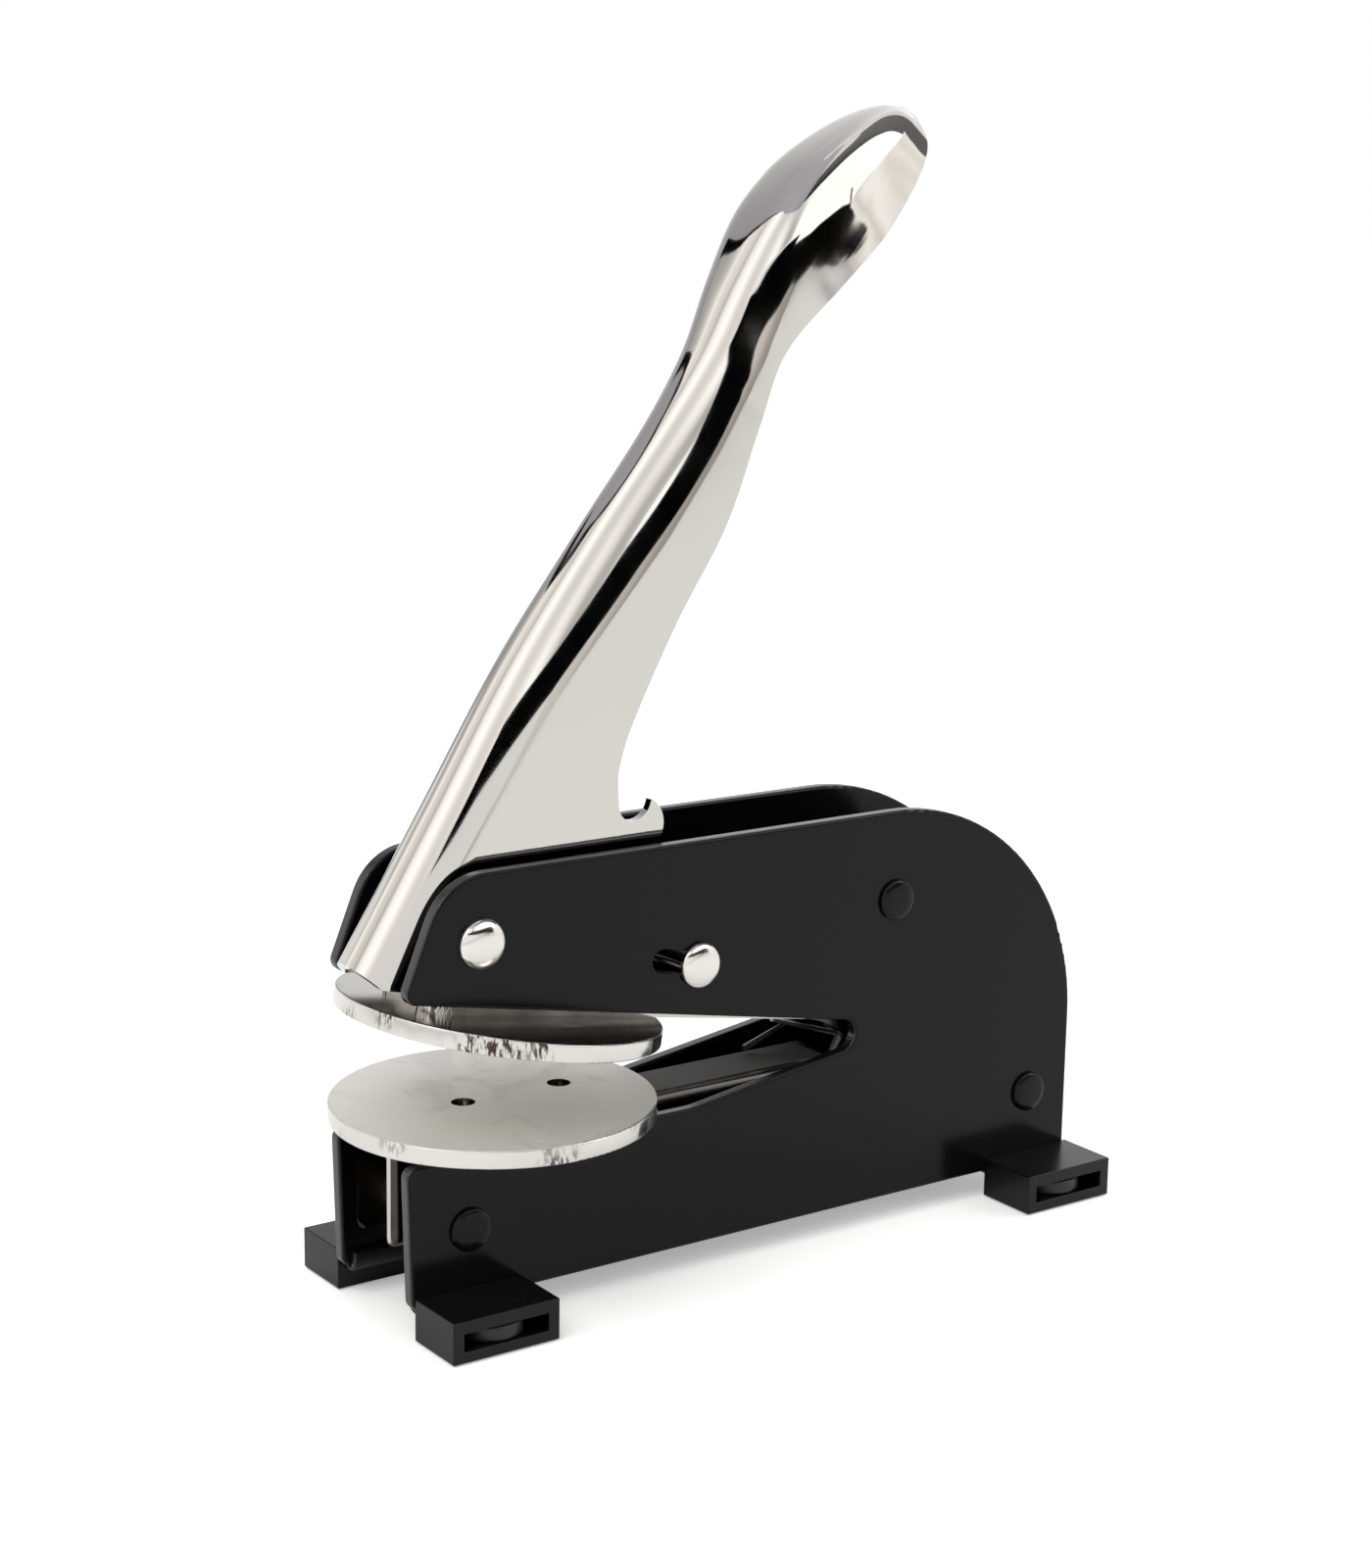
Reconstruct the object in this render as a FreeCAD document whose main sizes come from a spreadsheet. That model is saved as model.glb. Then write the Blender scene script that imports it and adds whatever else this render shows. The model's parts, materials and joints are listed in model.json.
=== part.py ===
"""Desk seal embosser: a lever press that closes two round die plates on a sheet of paper.

Millimetres. X runs from the user to the back, Y to the left, Z up. Every piece is drawn about the
axis of the lower die plate, at X = 0, and on the table, at Z = 0. origin_x then moves the whole
machine so that the row's origin is the centre of its footprint.
"""
import FreeCAD, Part
import math
import os
import Sketcher
from FreeCAD import Placement, Rotation, Vector

doc = FreeCAD.newDocument("seal_embosser")
sheet = doc.addObject("Spreadsheet::Sheet", "sizes")

SIZES = [
    ("origin_x", 0.0, "moves the die axis so that the footprint is centred; set at the end"),
    # frame
    ("plate_wall", 2.5, "steel of the two side plates"),
    ("frame_gap", 20.2, "clear width between the side plates"),
    ("plate_round", 0.6, "rounded edges of the side plates"),
    ("plate_bottom", 4.8, "underside of the plates above the table"),
    ("plate_top", 75.0, "top edge"),
    ("plate_front", 23.4, "lower front edge, at its top, ahead of the die axis"),
    ("plate_rake", 1.8, "its lean backwards towards the table, degrees"),
    ("plate_back", 116.4, "back edge behind the die axis"),
    ("plate_back_arc", 43.0, "radius of the big corner at the back"),
    ("brow_front", 24.0, "lowest corner of the brow ahead of the die axis"),
    ("brow_lean", 22.0, "lean of the brow's front edge, degrees"),
    ("brow_arc", 10.8, "radius of the corner over the jaw"),
    ("jaw_slope", 10.8, "slope of the upper edge of the throat, degrees"),
    ("anvil_edge_z", 29.0, "upper edge of the plates under the lower die"),
    ("throat_x", 63.1, "centre of the throat's round end"),
    ("throat_z", 36.3, "its height"),
    ("throat_arc", 2.8, "its radius"),
    ("throat_lift_x", 32.0, "where the lower edge of the throat starts to rise"),
    ("plate_corner", 2.0, "small corners of the plates"),
    # die plates
    ("die_d", 54.0, "diameter of both die plates"),
    ("die_wall", 3.0, "their thickness"),
    ("die_z", 33.4, "upper face of the lower die plate"),
    ("die_hole_d", 4.0, "screw holes for the dies"),
    ("die_hole_front", 5.7, "front hole ahead of the die axis"),
    ("die_hole_back", 12.8, "back hole behind the die axis"),
    ("die_edge", 0.35, "broken edges of the die plates"),
    # anvil channel
    ("channel_w", 12.6, "outer width of the anvil channel"),
    ("channel_wall", 1.5, "its sheet"),
    ("channel_front", 22.8, "front end ahead of the die axis"),
    ("channel_back", 112.0, "back end behind the die axis"),
    ("channel_bottom", 13.3, "lower edges of its flanges"),
    ("channel_bend", 2.2, "outer radius of its folds"),
    ("channel_corner", 1.5, "corners of its flanges"),
    ("channel_nib", 0.2, "broken corners at the two ends of its web"),
    ("hinge_ear", 4.6, "radius of the ears round the hinge pin"),
    # arm and its hinge
    ("hinge_x", 75.0, "hinge of the arm behind the die axis"),
    ("hinge_z", 34.9, "its height"),
    ("hinge_pin_d", 4.8, "hinge pin"),
    ("hinge_pin_l", 18.0, "its length, inside the side plates"),
    ("arm_rest", 9.7, "slope of the arm when it is open, degrees"),
    ("arm_swing", 9.3, "how far it closes, degrees"),
    ("arm_w", 17.8, "width of the arm"),
    ("arm_wall", 2.0, "its sheet"),
    ("arm_front", 18.8, "front end ahead of the upper die's axis"),
    ("arm_corner", 4.2, "corners of the front end"),
    ("arm_floor_end", 9.0, "the floor stops this far ahead of the hinge"),
    ("arm_ear", 5.0, "radius of the arm's ears round the hinge pin"),
    ("arm_ear_run", 18.0, "the ears start this far ahead of the hinge"),
    ("arm_ear_dip", 17.0, "hollow curve from the floor down to the ears"),
    # arm spring
    ("spring_wire", 1.2, "wire of the arm spring"),
    ("spring_coil", 6.8, "mean diameter of its coil"),
    ("spring_pitch", 1.4, "pitch of its coil"),
    ("spring_turns", 5.0, "its turns"),
    ("spring_leg", 21.0, "reach of its two legs ahead of the hinge"),
    # tie rivets
    ("tie_d", 4.6, "shanks of the tie rivets"),
    ("tie_head_d", 7.3, "their heads"),
    ("tie_head_h", 1.1, "height of their heads"),
    ("tie_front_x", -12.0, "front tie rivet"),
    ("tie_front_z", 16.9, "its height"),
    ("tie_back_x", 106.9, "back tie rivet"),
    ("tie_back_z", 18.5, "its height"),
    ("tie_top_x", 74.1, "top tie rivet"),
    ("tie_top_z", 59.2, "its height"),
    ("tie_tube_d", 8.0, "spacer tubes on the tie rivets"),
    ("tie_ring_d", 9.0, "spacer rings beside the channel"),
    # lever pivot
    ("pivot_x", -10.0, "pivot of the lever"),
    ("pivot_z", 63.7, "its height"),
    ("pivot_d", 6.0, "pivot pin"),
    ("pivot_head_d", 8.3, "its heads"),
    ("pivot_head_h", 2.3, "height of its heads"),
    ("pivot_tube_d", 9.0, "tube between the lever's flanges"),
    ("pivot_washer_d", 12.0, "washers beside the lever"),
    ("run_gap", 0.05, "radial clearance of every turning or sliding pin"),
    ("side_gap", 0.1, "side clearance of the lever at its washers"),
    # lock pin
    ("lock_x", 32.05, "lock pin when it is off"),
    ("lock_z", 53.9, "its height"),
    ("lock_d", 4.0, "shank of the lock pin"),
    ("lock_head_d", 7.3, "its knobs"),
    ("lock_head_h", 2.2, "height of its knobs"),
    ("lock_stand", 0.3, "its knobs stand this far off the plates"),
    ("lock_slot", 7.4, "travel that the slots allow"),
    ("lock_travel", 6.2, "travel that brings the pin into the notch of the hook"),
    # lever
    ("lever_w", 14.7, "width of the lever between the side plates"),
    ("lever_wall", 1.5, "its sheet"),
    ("lever_swing", 44.0, "how far it swings down, degrees"),
    ("lever_base_x", -26.0, "start of the line along which its sections stand"),
    ("lever_base_z", 59.0, "height of that start"),
    ("lever_lean", 50.0, "slope of that line, degrees"),
    ("lever_l", 171.0, "its length along that line"),
    ("grip_w", 18.4, "width of the grip"),
    ("cam_gap", 0.25, "gap between the cam edges and the arm"),
    ("toe_x", -24.3, "lower corner of the lever's toe"),
    ("toe_z", 56.9, "its height"),
    ("hook_r", 4.85, "radius of the hook's outer curve"),
    ("hook_rise", 22.5, "slope from the pivot to that curve's centre at rest, degrees"),
    ("hook_gap", 0.18, "gap between the hook and the lock pin that it passes"),
    ("notch_r", 3.6, "radius of the notch on the side of the hook's beak"),
    ("notch_heel_r", 2.7, "its radius on the side of the shank"),
    ("notch_rise", 29.7, "slope from the pivot to the notch's centre at rest, degrees"),
    ("beak_r", 0.5, "rounded tip of the beak"),
    # feet
    ("foot_l", 19.6, "length of a foot"),
    ("foot_out", 24.6, "outer face of a foot from the middle plane"),
    ("foot_top", 7.3, "top of a foot above the table"),
    ("foot_lift", 0.3, "the rubber holds the foot this far off the table"),
    ("foot_front_x", -12.4, "middle of the front feet"),
    ("foot_back_x", 106.95, "middle of the back feet"),
    ("clip_top", 7.7, "top of the clip behind the side plate"),
    ("clip_wall", 1.8, "thickness of the clip beside the plate"),
    ("clip_floor", 0.9, "thickness of the clip under the plate"),
    ("clip_bend", 2.6, "radius of its bend"),
    ("clip_inset", 1.0, "the clip is this much shorter than the foot at each end"),
    ("window_l", 15.6, "window in a foot"),
    ("window_z", 2.2, "its lower edge"),
    ("window_h", 2.9, "its height"),
    ("window_deep", 11.8, "its depth"),
    ("pad_d", 11.2, "rubber pad"),
    ("pad_h", 2.6, "its thickness in the window"),
    ("pad_boss_d", 9.0, "the part of the pad that reaches the table"),
    ("pad_inset", 0.25, "the pad's rim lies this far inside the foot's outer face"),
    ("pad_round", 0.5, "rounded edges of the pad"),
]
for row, (alias, number, note) in enumerate(SIZES, start=1):
    sheet.set("A%d" % row, alias)
    sheet.set("B%d" % row, str(number))
    sheet.set("C%d" % row, note)
    sheet.setAlias("B%d" % row, alias)
doc.recompute()


def size(alias):
    """The number that the sheet holds under this alias."""
    return float(getattr(sheet, alias))


# ---------------------------------------------------------------- shared helpers

def new_body(label):
    body = doc.addObject("PartDesign::Body", label)
    body.Label = label
    return body


def plane_of(body, role):
    for feature in body.Origin.OriginFeatures:
        if feature.Role == role:
            return feature
    raise ValueError("no plane %s in %s" % (role, body.Label))


def sketch_on(body, name, role):
    """An empty sketch on one of the body's origin planes.

    Sketch x and y are X and Z on XZ_Plane, Y and Z on YZ_Plane, and X and Y on XY_Plane.
    """
    sketch = body.newObject("Sketcher::SketchObject", name)
    sketch.AttachmentSupport = (plane_of(body, role), [""])
    sketch.MapMode = "FlatFace"
    return sketch


def at(x, y):
    return Vector(x, y, 0)


def line(start, end):
    return Part.LineSegment(at(*start), at(*end))


def arc(start, middle, end):
    return Part.Arc(at(*start), at(*middle), at(*end))


def closed_lines(points):
    return [line(points[i], points[(i + 1) % len(points)]) for i in range(len(points))]


def bound_circle(sketch, radius, x="0 mm", y="0 mm"):
    """A circle whose radius and centre are expressions in the sheet's aliases."""
    index = sketch.addGeometry(Part.Circle(at(1, 1), Vector(0, 0, 1), 1), False)
    for kind, numbers, rule in (("Radius", (index, 1), radius),
                                ("DistanceX", (-1, 1, index, 3, 1), x),
                                ("DistanceY", (-1, 1, index, 3, 1), y)):
        place = sketch.addConstraint(Sketcher.Constraint(kind, *numbers))
        sketch.setExpression("Constraints[%d]" % place, rule)


def pad(body, sketch, length, middle=True):
    feature = body.newObject("PartDesign::Pad", sketch.Name + "_pad")
    feature.Profile = sketch
    feature.SideType = "Symmetric" if middle else "One side"
    feature.setExpression("Length", length)
    sketch.Visibility = False
    return feature


def pocket(body, sketch, length, middle=True, up=False):
    feature = body.newObject("PartDesign::Pocket", sketch.Name + "_pocket")
    feature.Profile = sketch
    feature.SideType = "Symmetric" if middle else "One side"
    feature.Reversed = up
    feature.setExpression("Length", length)
    return feature


def revolve(body, sketch):
    feature = body.newObject("PartDesign::Revolution", sketch.Name + "_turn")
    feature.Profile = sketch
    feature.ReferenceAxis = (sketch, ["V_Axis"])
    feature.Angle = 360
    return feature


def dress(body, kind, edges, radius):
    """A Fillet or Chamfer of the body's tip on the named edges."""
    base = body.Tip
    feature = body.newObject("PartDesign::" + kind, body.Label + "_" + kind.lower())
    feature.Base = (base, edges)
    feature.setExpression("Radius" if kind == "Fillet" else "Size", radius)
    return feature


def edges_where(shape, test):
    return ["Edge%d" % (i + 1) for i, edge in enumerate(shape.Edges) if test(edge)]


def place(thing, x="0 mm", y="0 mm", z="0 mm", turn=None):
    """Bind a piece's Placement to the sheet. turn is (axis, expression in degrees)."""
    thing.setExpression("Placement.Base.x", "sizes.origin_x * 1 mm + (%s)" % x)
    thing.setExpression("Placement.Base.y", y)
    thing.setExpression("Placement.Base.z", z)
    if turn:
        axis, angle = turn
        thing.Placement = Placement(Vector(), Rotation(axis, 1))
        thing.setExpression("Placement.Rotation.Angle", angle)


def mm(alias):
    return "sizes.%s * 1 mm" % alias


def polar(radius, degrees, centre=(0.0, 0.0)):
    turn = math.radians(degrees)
    return centre[0] + radius * math.cos(turn), centre[1] + radius * math.sin(turn)


# cuts run this far past the piece, in millimetres
OVERRUN = 1.0

pieces = {}


def finish(piece, name):
    pieces[name] = piece
    return piece


# ---------------------------------------------------------------- side plates

def corner(before, tip, after, radius):
    """Two tangent points and the middle of the arc that rounds the corner at tip."""
    a, t, c = Vector(*before, 0), Vector(*tip, 0), Vector(*after, 0)
    to_a = (a - t).normalize()
    to_c = (c - t).normalize()
    half = to_a.getAngle(to_c) / 2
    run = radius / math.tan(half)
    centre = t + (to_a + to_c).normalize() * (radius / math.sin(half))
    middle = centre + (t - centre).normalize() * radius
    start, end = t + to_a * run, t + to_c * run
    return (start.x, start.y), (middle.x, middle.y), (end.x, end.y)


def rounded_outline(corners):
    """Lines and arcs round a polygon whose corners are (x, y, radius)."""
    shapes = []
    count = len(corners)
    rounds = []
    for i, (x, y, radius) in enumerate(corners):
        before, after = corners[i - 1][:2], corners[(i + 1) % count][:2]
        rounds.append(corner(before, (x, y), after, radius))
    for i, (start, middle, end) in enumerate(rounds):
        shapes.append(arc(start, middle, end))
        next_start = rounds[(i + 1) % count][0]
        if math.dist(end, next_start) > 1e-6:
            shapes.append(line(end, next_start))
    return shapes


def side_plate_corners():
    """The C-shaped outline, from the bottom front corner round to the throat."""
    small = size("plate_corner")
    front, back = -size("plate_front"), size("plate_back")
    bottom, top = size("plate_bottom"), size("plate_top")
    slope = math.radians(size("jaw_slope"))
    # the throat is a wedge whose two edges are tangent to its round end
    end_x, end_z, end_r = size("throat_x"), size("throat_z"), size("throat_arc")
    lift_x, anvil = size("throat_lift_x"), size("anvil_edge_z")
    reach = math.dist((lift_x, anvil), (end_x, end_z))
    rise = math.atan2(end_z - anvil, end_x - lift_x) - math.asin(end_r / reach)
    # where the two edges of the wedge would meet
    upper = (end_x + end_r * math.sin(slope), end_z + end_r * math.cos(slope))
    gap = upper[1] - anvil + math.tan(slope) * (upper[0] - lift_x)
    tip_x = lift_x + gap / (math.tan(slope) + math.tan(rise))
    tip_z = anvil + (tip_x - lift_x) * math.tan(rise)
    # the brow leans back from its lowest corner up to the top edge
    brow_x = -size("brow_front")
    brow_z = tip_z + (tip_x - brow_x) * math.tan(slope)
    lean = math.tan(math.radians(size("brow_lean")))
    rake = math.tan(math.radians(size("plate_rake")))
    return [
        (front + (anvil - bottom) * rake, bottom, small),
        (front, anvil, small),
        (lift_x, anvil, 10 * small),
        (tip_x, tip_z, end_r),
        (brow_x, brow_z, small),
        (brow_x + (top - brow_z) * lean, top, size("brow_arc")),
        (back, top, size("plate_back_arc")),
        (back, bottom, small),
    ]


def lock_direction():
    """Unit vector along the slot, from the pin's rest place to the lever's pivot."""
    run = Vector(size("pivot_x") - size("lock_x"), size("pivot_z") - size("lock_z"), 0)
    return run.normalize()


def side_plate(label, side):
    body = new_body(label)
    blank = sketch_on(body, label + "_outline", "XZ_Plane")
    blank.addGeometry(rounded_outline(side_plate_corners()), False)
    pad(body, blank, mm("plate_wall"))
    doc.recompute()
    rims = edges_where(body.Tip.Shape, lambda edge: edge.BoundBox.YLength < size("plate_wall") / 2)
    dress(body, "Fillet", rims, mm("plate_round"))
    holes = sketch_on(body, label + "_holes", "XZ_Plane")
    for name in ("tie_front", "tie_back", "tie_top"):
        bound_circle(holes, "sizes.tie_d * 0.5 mm", mm(name + "_x"), mm(name + "_z"))
    bound_circle(holes, "sizes.pivot_d * 0.5 mm", mm("pivot_x"), mm("pivot_z"))
    pocket(body, holes, "sizes.plate_wall * 2 mm")
    slot = sketch_on(body, label + "_lock_slot", "XZ_Plane")
    slot.addGeometry(lock_slot_outline(), False)
    pocket(body, slot, "sizes.plate_wall * 2 mm")
    place(body, y="(sizes.frame_gap + sizes.plate_wall) * %g mm" % (side / 2))
    return finish(body, label)


def lock_slot_outline():
    """A straight slot from the rest place of the lock pin towards the lever's pivot."""
    along = lock_direction()
    across = Vector(-along.y, along.x, 0)
    radius = size("lock_d") / 2 + size("run_gap")
    rest = Vector(size("lock_x"), size("lock_z"), 0)
    end = rest + along * size("lock_slot")
    corners = [rest + across * radius, end + across * radius, end + along * radius,
               end - across * radius, rest - across * radius, rest - along * radius]
    p = [(v.x, v.y) for v in corners]
    return [line(p[0], p[1]), arc(p[1], p[2], p[3]), line(p[3], p[4]), arc(p[4], p[5], p[0])]


side_plate("left_side_plate", 1)
side_plate("right_side_plate", -1)


# ---------------------------------------------------------------- rivets, pins, tubes and rings

def headed_pin(label, x, z, shank_d, grip, head_d, head_h):
    """A pin along Y with a domed head at each end. grip is the length between the heads."""
    body = new_body(label)
    half, shank, head = grip / 2, shank_d / 2, head_d / 2
    crown = (head ** 2 + head_h ** 2) / (2 * head_h)
    turn = math.asin(head / crown) / 2
    bulge = crown * math.sin(turn)
    bulge_y = half + head_h - crown + crown * math.cos(turn)
    profile = sketch_on(body, label + "_profile", "XY_Plane")
    profile.addGeometry([
        arc((0, -half - head_h), (bulge, -bulge_y), (head, -half)),
        line((head, -half), (shank, -half)),
        line((shank, -half), (shank, half)),
        line((shank, half), (head, half)),
        arc((head, half), (bulge, bulge_y), (0, half + head_h)),
        line((0, half + head_h), (0, -half - head_h)),
    ], False)
    revolve(body, profile)
    place(body, x=mm(x), z=mm(z))
    return finish(body, label)


def tube(label, x, z, outer, inner, length, y="0 mm"):
    """A ring or tube along Y. outer, inner and length are expressions."""
    body = new_body(label)
    ring = sketch_on(body, label + "_ring", "XZ_Plane")
    bound_circle(ring, outer)
    bound_circle(ring, inner)
    pad(body, ring, length)
    place(body, x=mm(x), y=y, z=mm(z))
    return finish(body, label)


frame_w = size("frame_gap") + 2 * size("plate_wall")

for tie in ("front", "back", "top"):
    headed_pin("%s_tie_rivet" % tie, "tie_%s_x" % tie, "tie_%s_z" % tie, size("tie_d"), frame_w,
               size("tie_head_d"), size("tie_head_h"))

for tie in ("front", "back"):
    where = ("tie_%s_x" % tie, "tie_%s_z" % tie)
    tube("%s_tie_tube" % tie, *where, "sizes.tie_tube_d * 0.5 mm", "sizes.tie_d * 0.5 mm",
         "(sizes.channel_w - 2 * sizes.channel_wall) * 1 mm")
    for side, sign in (("left", 1), ("right", -1)):
        tube("%s_ring_%s" % (tie, side), *where, "sizes.tie_ring_d * 0.5 mm",
             "sizes.tie_d * 0.5 mm", "(sizes.frame_gap - sizes.channel_w) * 0.5 mm",
             "(sizes.frame_gap + sizes.channel_w) * %g mm" % (sign / 4))

tube("top_tie_tube", "tie_top_x", "tie_top_z", "sizes.tie_tube_d * 0.5 mm",
     "sizes.tie_d * 0.5 mm", "sizes.frame_gap * 1 mm")

headed_pin("lever_pivot_pin", "pivot_x", "pivot_z", size("pivot_d"), frame_w,
           size("pivot_head_d"), size("pivot_head_h"))
for side, sign in (("left", 1), ("right", -1)):
    tube("pivot_washer_%s" % side, "pivot_x", "pivot_z", "sizes.pivot_washer_d * 0.5 mm",
         "sizes.pivot_d * 0.5 mm",
         "((sizes.frame_gap - sizes.lever_w) / 2 - sizes.side_gap) * 1 mm",
         "((sizes.frame_gap + sizes.lever_w) / 2 + sizes.side_gap) * %g mm" % (sign / 2))
tube("lever_tube", "pivot_x", "pivot_z", "sizes.pivot_tube_d * 0.5 mm",
     "(sizes.pivot_d / 2 + sizes.run_gap) * 1 mm",
     "(sizes.lever_w - 2 * sizes.lever_wall) * 1 mm")

headed_pin("lock_pin", "lock_x", "lock_z", size("lock_d"), frame_w + 2 * size("lock_stand"),
           size("lock_head_d"), size("lock_head_h"))


# ---------------------------------------------------------------- die plates

def die_plate(label):
    """A blanked steel disc with two screw holes. Its upper face lies at local Z = 0."""
    body = new_body(label)
    disc = sketch_on(body, label + "_disc", "XY_Plane")
    bound_circle(disc, "sizes.die_d * 0.5 mm")
    blank = pad(body, disc, mm("die_wall"), middle=False)
    blank.Reversed = True
    doc.recompute()
    rim = edges_where(body.Tip.Shape, lambda edge: len(edge.Vertexes) == 1)
    dress(body, "Fillet", rim, mm("die_edge"))
    holes = sketch_on(body, label + "_holes", "XY_Plane")
    bound_circle(holes, "sizes.die_hole_d * 0.5 mm", "-sizes.die_hole_front * 1 mm")
    bound_circle(holes, "sizes.die_hole_d * 0.5 mm", mm("die_hole_back"))
    pocket(body, holes, "sizes.die_wall * 3 mm")
    return finish(body, label)


place(die_plate("lower_die_plate"), z=mm("die_z"))


# ---------------------------------------------------------------- anvil channel

# The two upper corners of an ear take this share of its radius: just short of a half circle.
EAR_FULLNESS = 0.98


def anvil_channel():
    """Folded channel that carries the lower die plate, with two ears for the arm's hinge."""
    body = new_body("anvil_channel")
    half, wall = size("channel_w") / 2, size("channel_wall")
    top, bottom = size("die_z") - size("die_wall"), size("channel_bottom")
    front, back, small = -size("channel_front"), size("channel_back"), size("channel_corner")
    hinge_x, hinge_z, ear = size("hinge_x"), size("hinge_z"), size("hinge_ear")
    nib, ear_round = size("channel_nib"), ear * EAR_FULLNESS
    blank = sketch_on(body, "channel_blank", "XZ_Plane")
    side = [(front, bottom, small), (front, top, nib), (hinge_x - 2 * ear, top, small),
            (hinge_x - ear, hinge_z + ear, ear_round), (hinge_x + ear, hinge_z + ear, ear_round),
            (hinge_x + 2 * ear, top, small), (back, top, nib), (back, bottom, small)]
    blank.addGeometry(rounded_outline(side), False)
    pad(body, blank, mm("channel_w"))
    doc.recompute()

    def is_fold(edge):
        long_run = abs(edge.BoundBox.YLength) < 1e-6 and edge.BoundBox.XLength > 4 * ear
        return long_run and abs(edge.CenterOfMass.z - top) < 1e-6

    dress(body, "Fillet", edges_where(body.Tip.Shape, is_fold), mm("channel_bend"))
    inside = sketch_on(body, "channel_inside", "YZ_Plane")
    bend = size("channel_bend") - wall
    inner, roof, below = half - wall, top - wall, bottom - OVERRUN
    inside.addGeometry(rounded_outline([(-inner, below, nib), (-inner, roof, bend),
                                        (inner, roof, bend), (inner, below, nib)]), False)
    pocket(body, inside, "4 * sizes.channel_back * 1 mm")
    window = sketch_on(body, "spring_window", "XY_Plane")
    reach = 2 * ear
    window.addGeometry(closed_lines([(hinge_x - reach, -inner), (hinge_x + reach, -inner),
                                     (hinge_x + reach, inner), (hinge_x - reach, inner)]), False)
    pocket(body, window, "4 * sizes.hinge_z * 1 mm")
    holes = sketch_on(body, "channel_pins", "XZ_Plane")
    for name in ("tie_front", "tie_back"):
        bound_circle(holes, "sizes.tie_d * 0.5 mm", mm(name + "_x"), mm(name + "_z"))
    bound_circle(holes, "sizes.hinge_pin_d * 0.5 mm", mm("hinge_x"), mm("hinge_z"))
    pocket(body, holes, "sizes.channel_w * 2 mm")
    screws = sketch_on(body, "channel_screw_holes", "XY_Plane")
    bound_circle(screws, "sizes.die_hole_d * 0.5 mm", "-sizes.die_hole_front * 1 mm")
    bound_circle(screws, "sizes.die_hole_d * 0.5 mm", mm("die_hole_back"))
    pocket(body, screws, "4 * sizes.die_z * 1 mm")
    place(body)
    return finish(body, "anvil_channel")


anvil_channel()


# ---------------------------------------------------------------- arm: drawn closed, about its hinge

def arm_rise():
    """Height of the upper die's seat over the hinge, with the arm closed and the dies touching."""
    return size("die_z") + size("die_wall") - size("hinge_z")


def place_on_arm(thing, x="0 mm", z="0 mm"):
    """Put a piece that is drawn about the hinge on the open arm."""
    thing.Placement = Placement(Vector(), Rotation(Vector(0, 1, 0), 1))
    thing.setExpression("Placement.Rotation.Angle", "sizes.arm_rest * 1 deg")
    across = "(%s) * cos(sizes.arm_rest * 1 deg) + (%s) * sin(sizes.arm_rest * 1 deg)" % (x, z)
    up = "(%s) * cos(sizes.arm_rest * 1 deg) - (%s) * sin(sizes.arm_rest * 1 deg)" % (z, x)
    thing.setExpression("Placement.Base.x", "(sizes.origin_x + sizes.hinge_x) * 1 mm + " + across)
    thing.setExpression("Placement.Base.z", "sizes.hinge_z * 1 mm + " + up)


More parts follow.
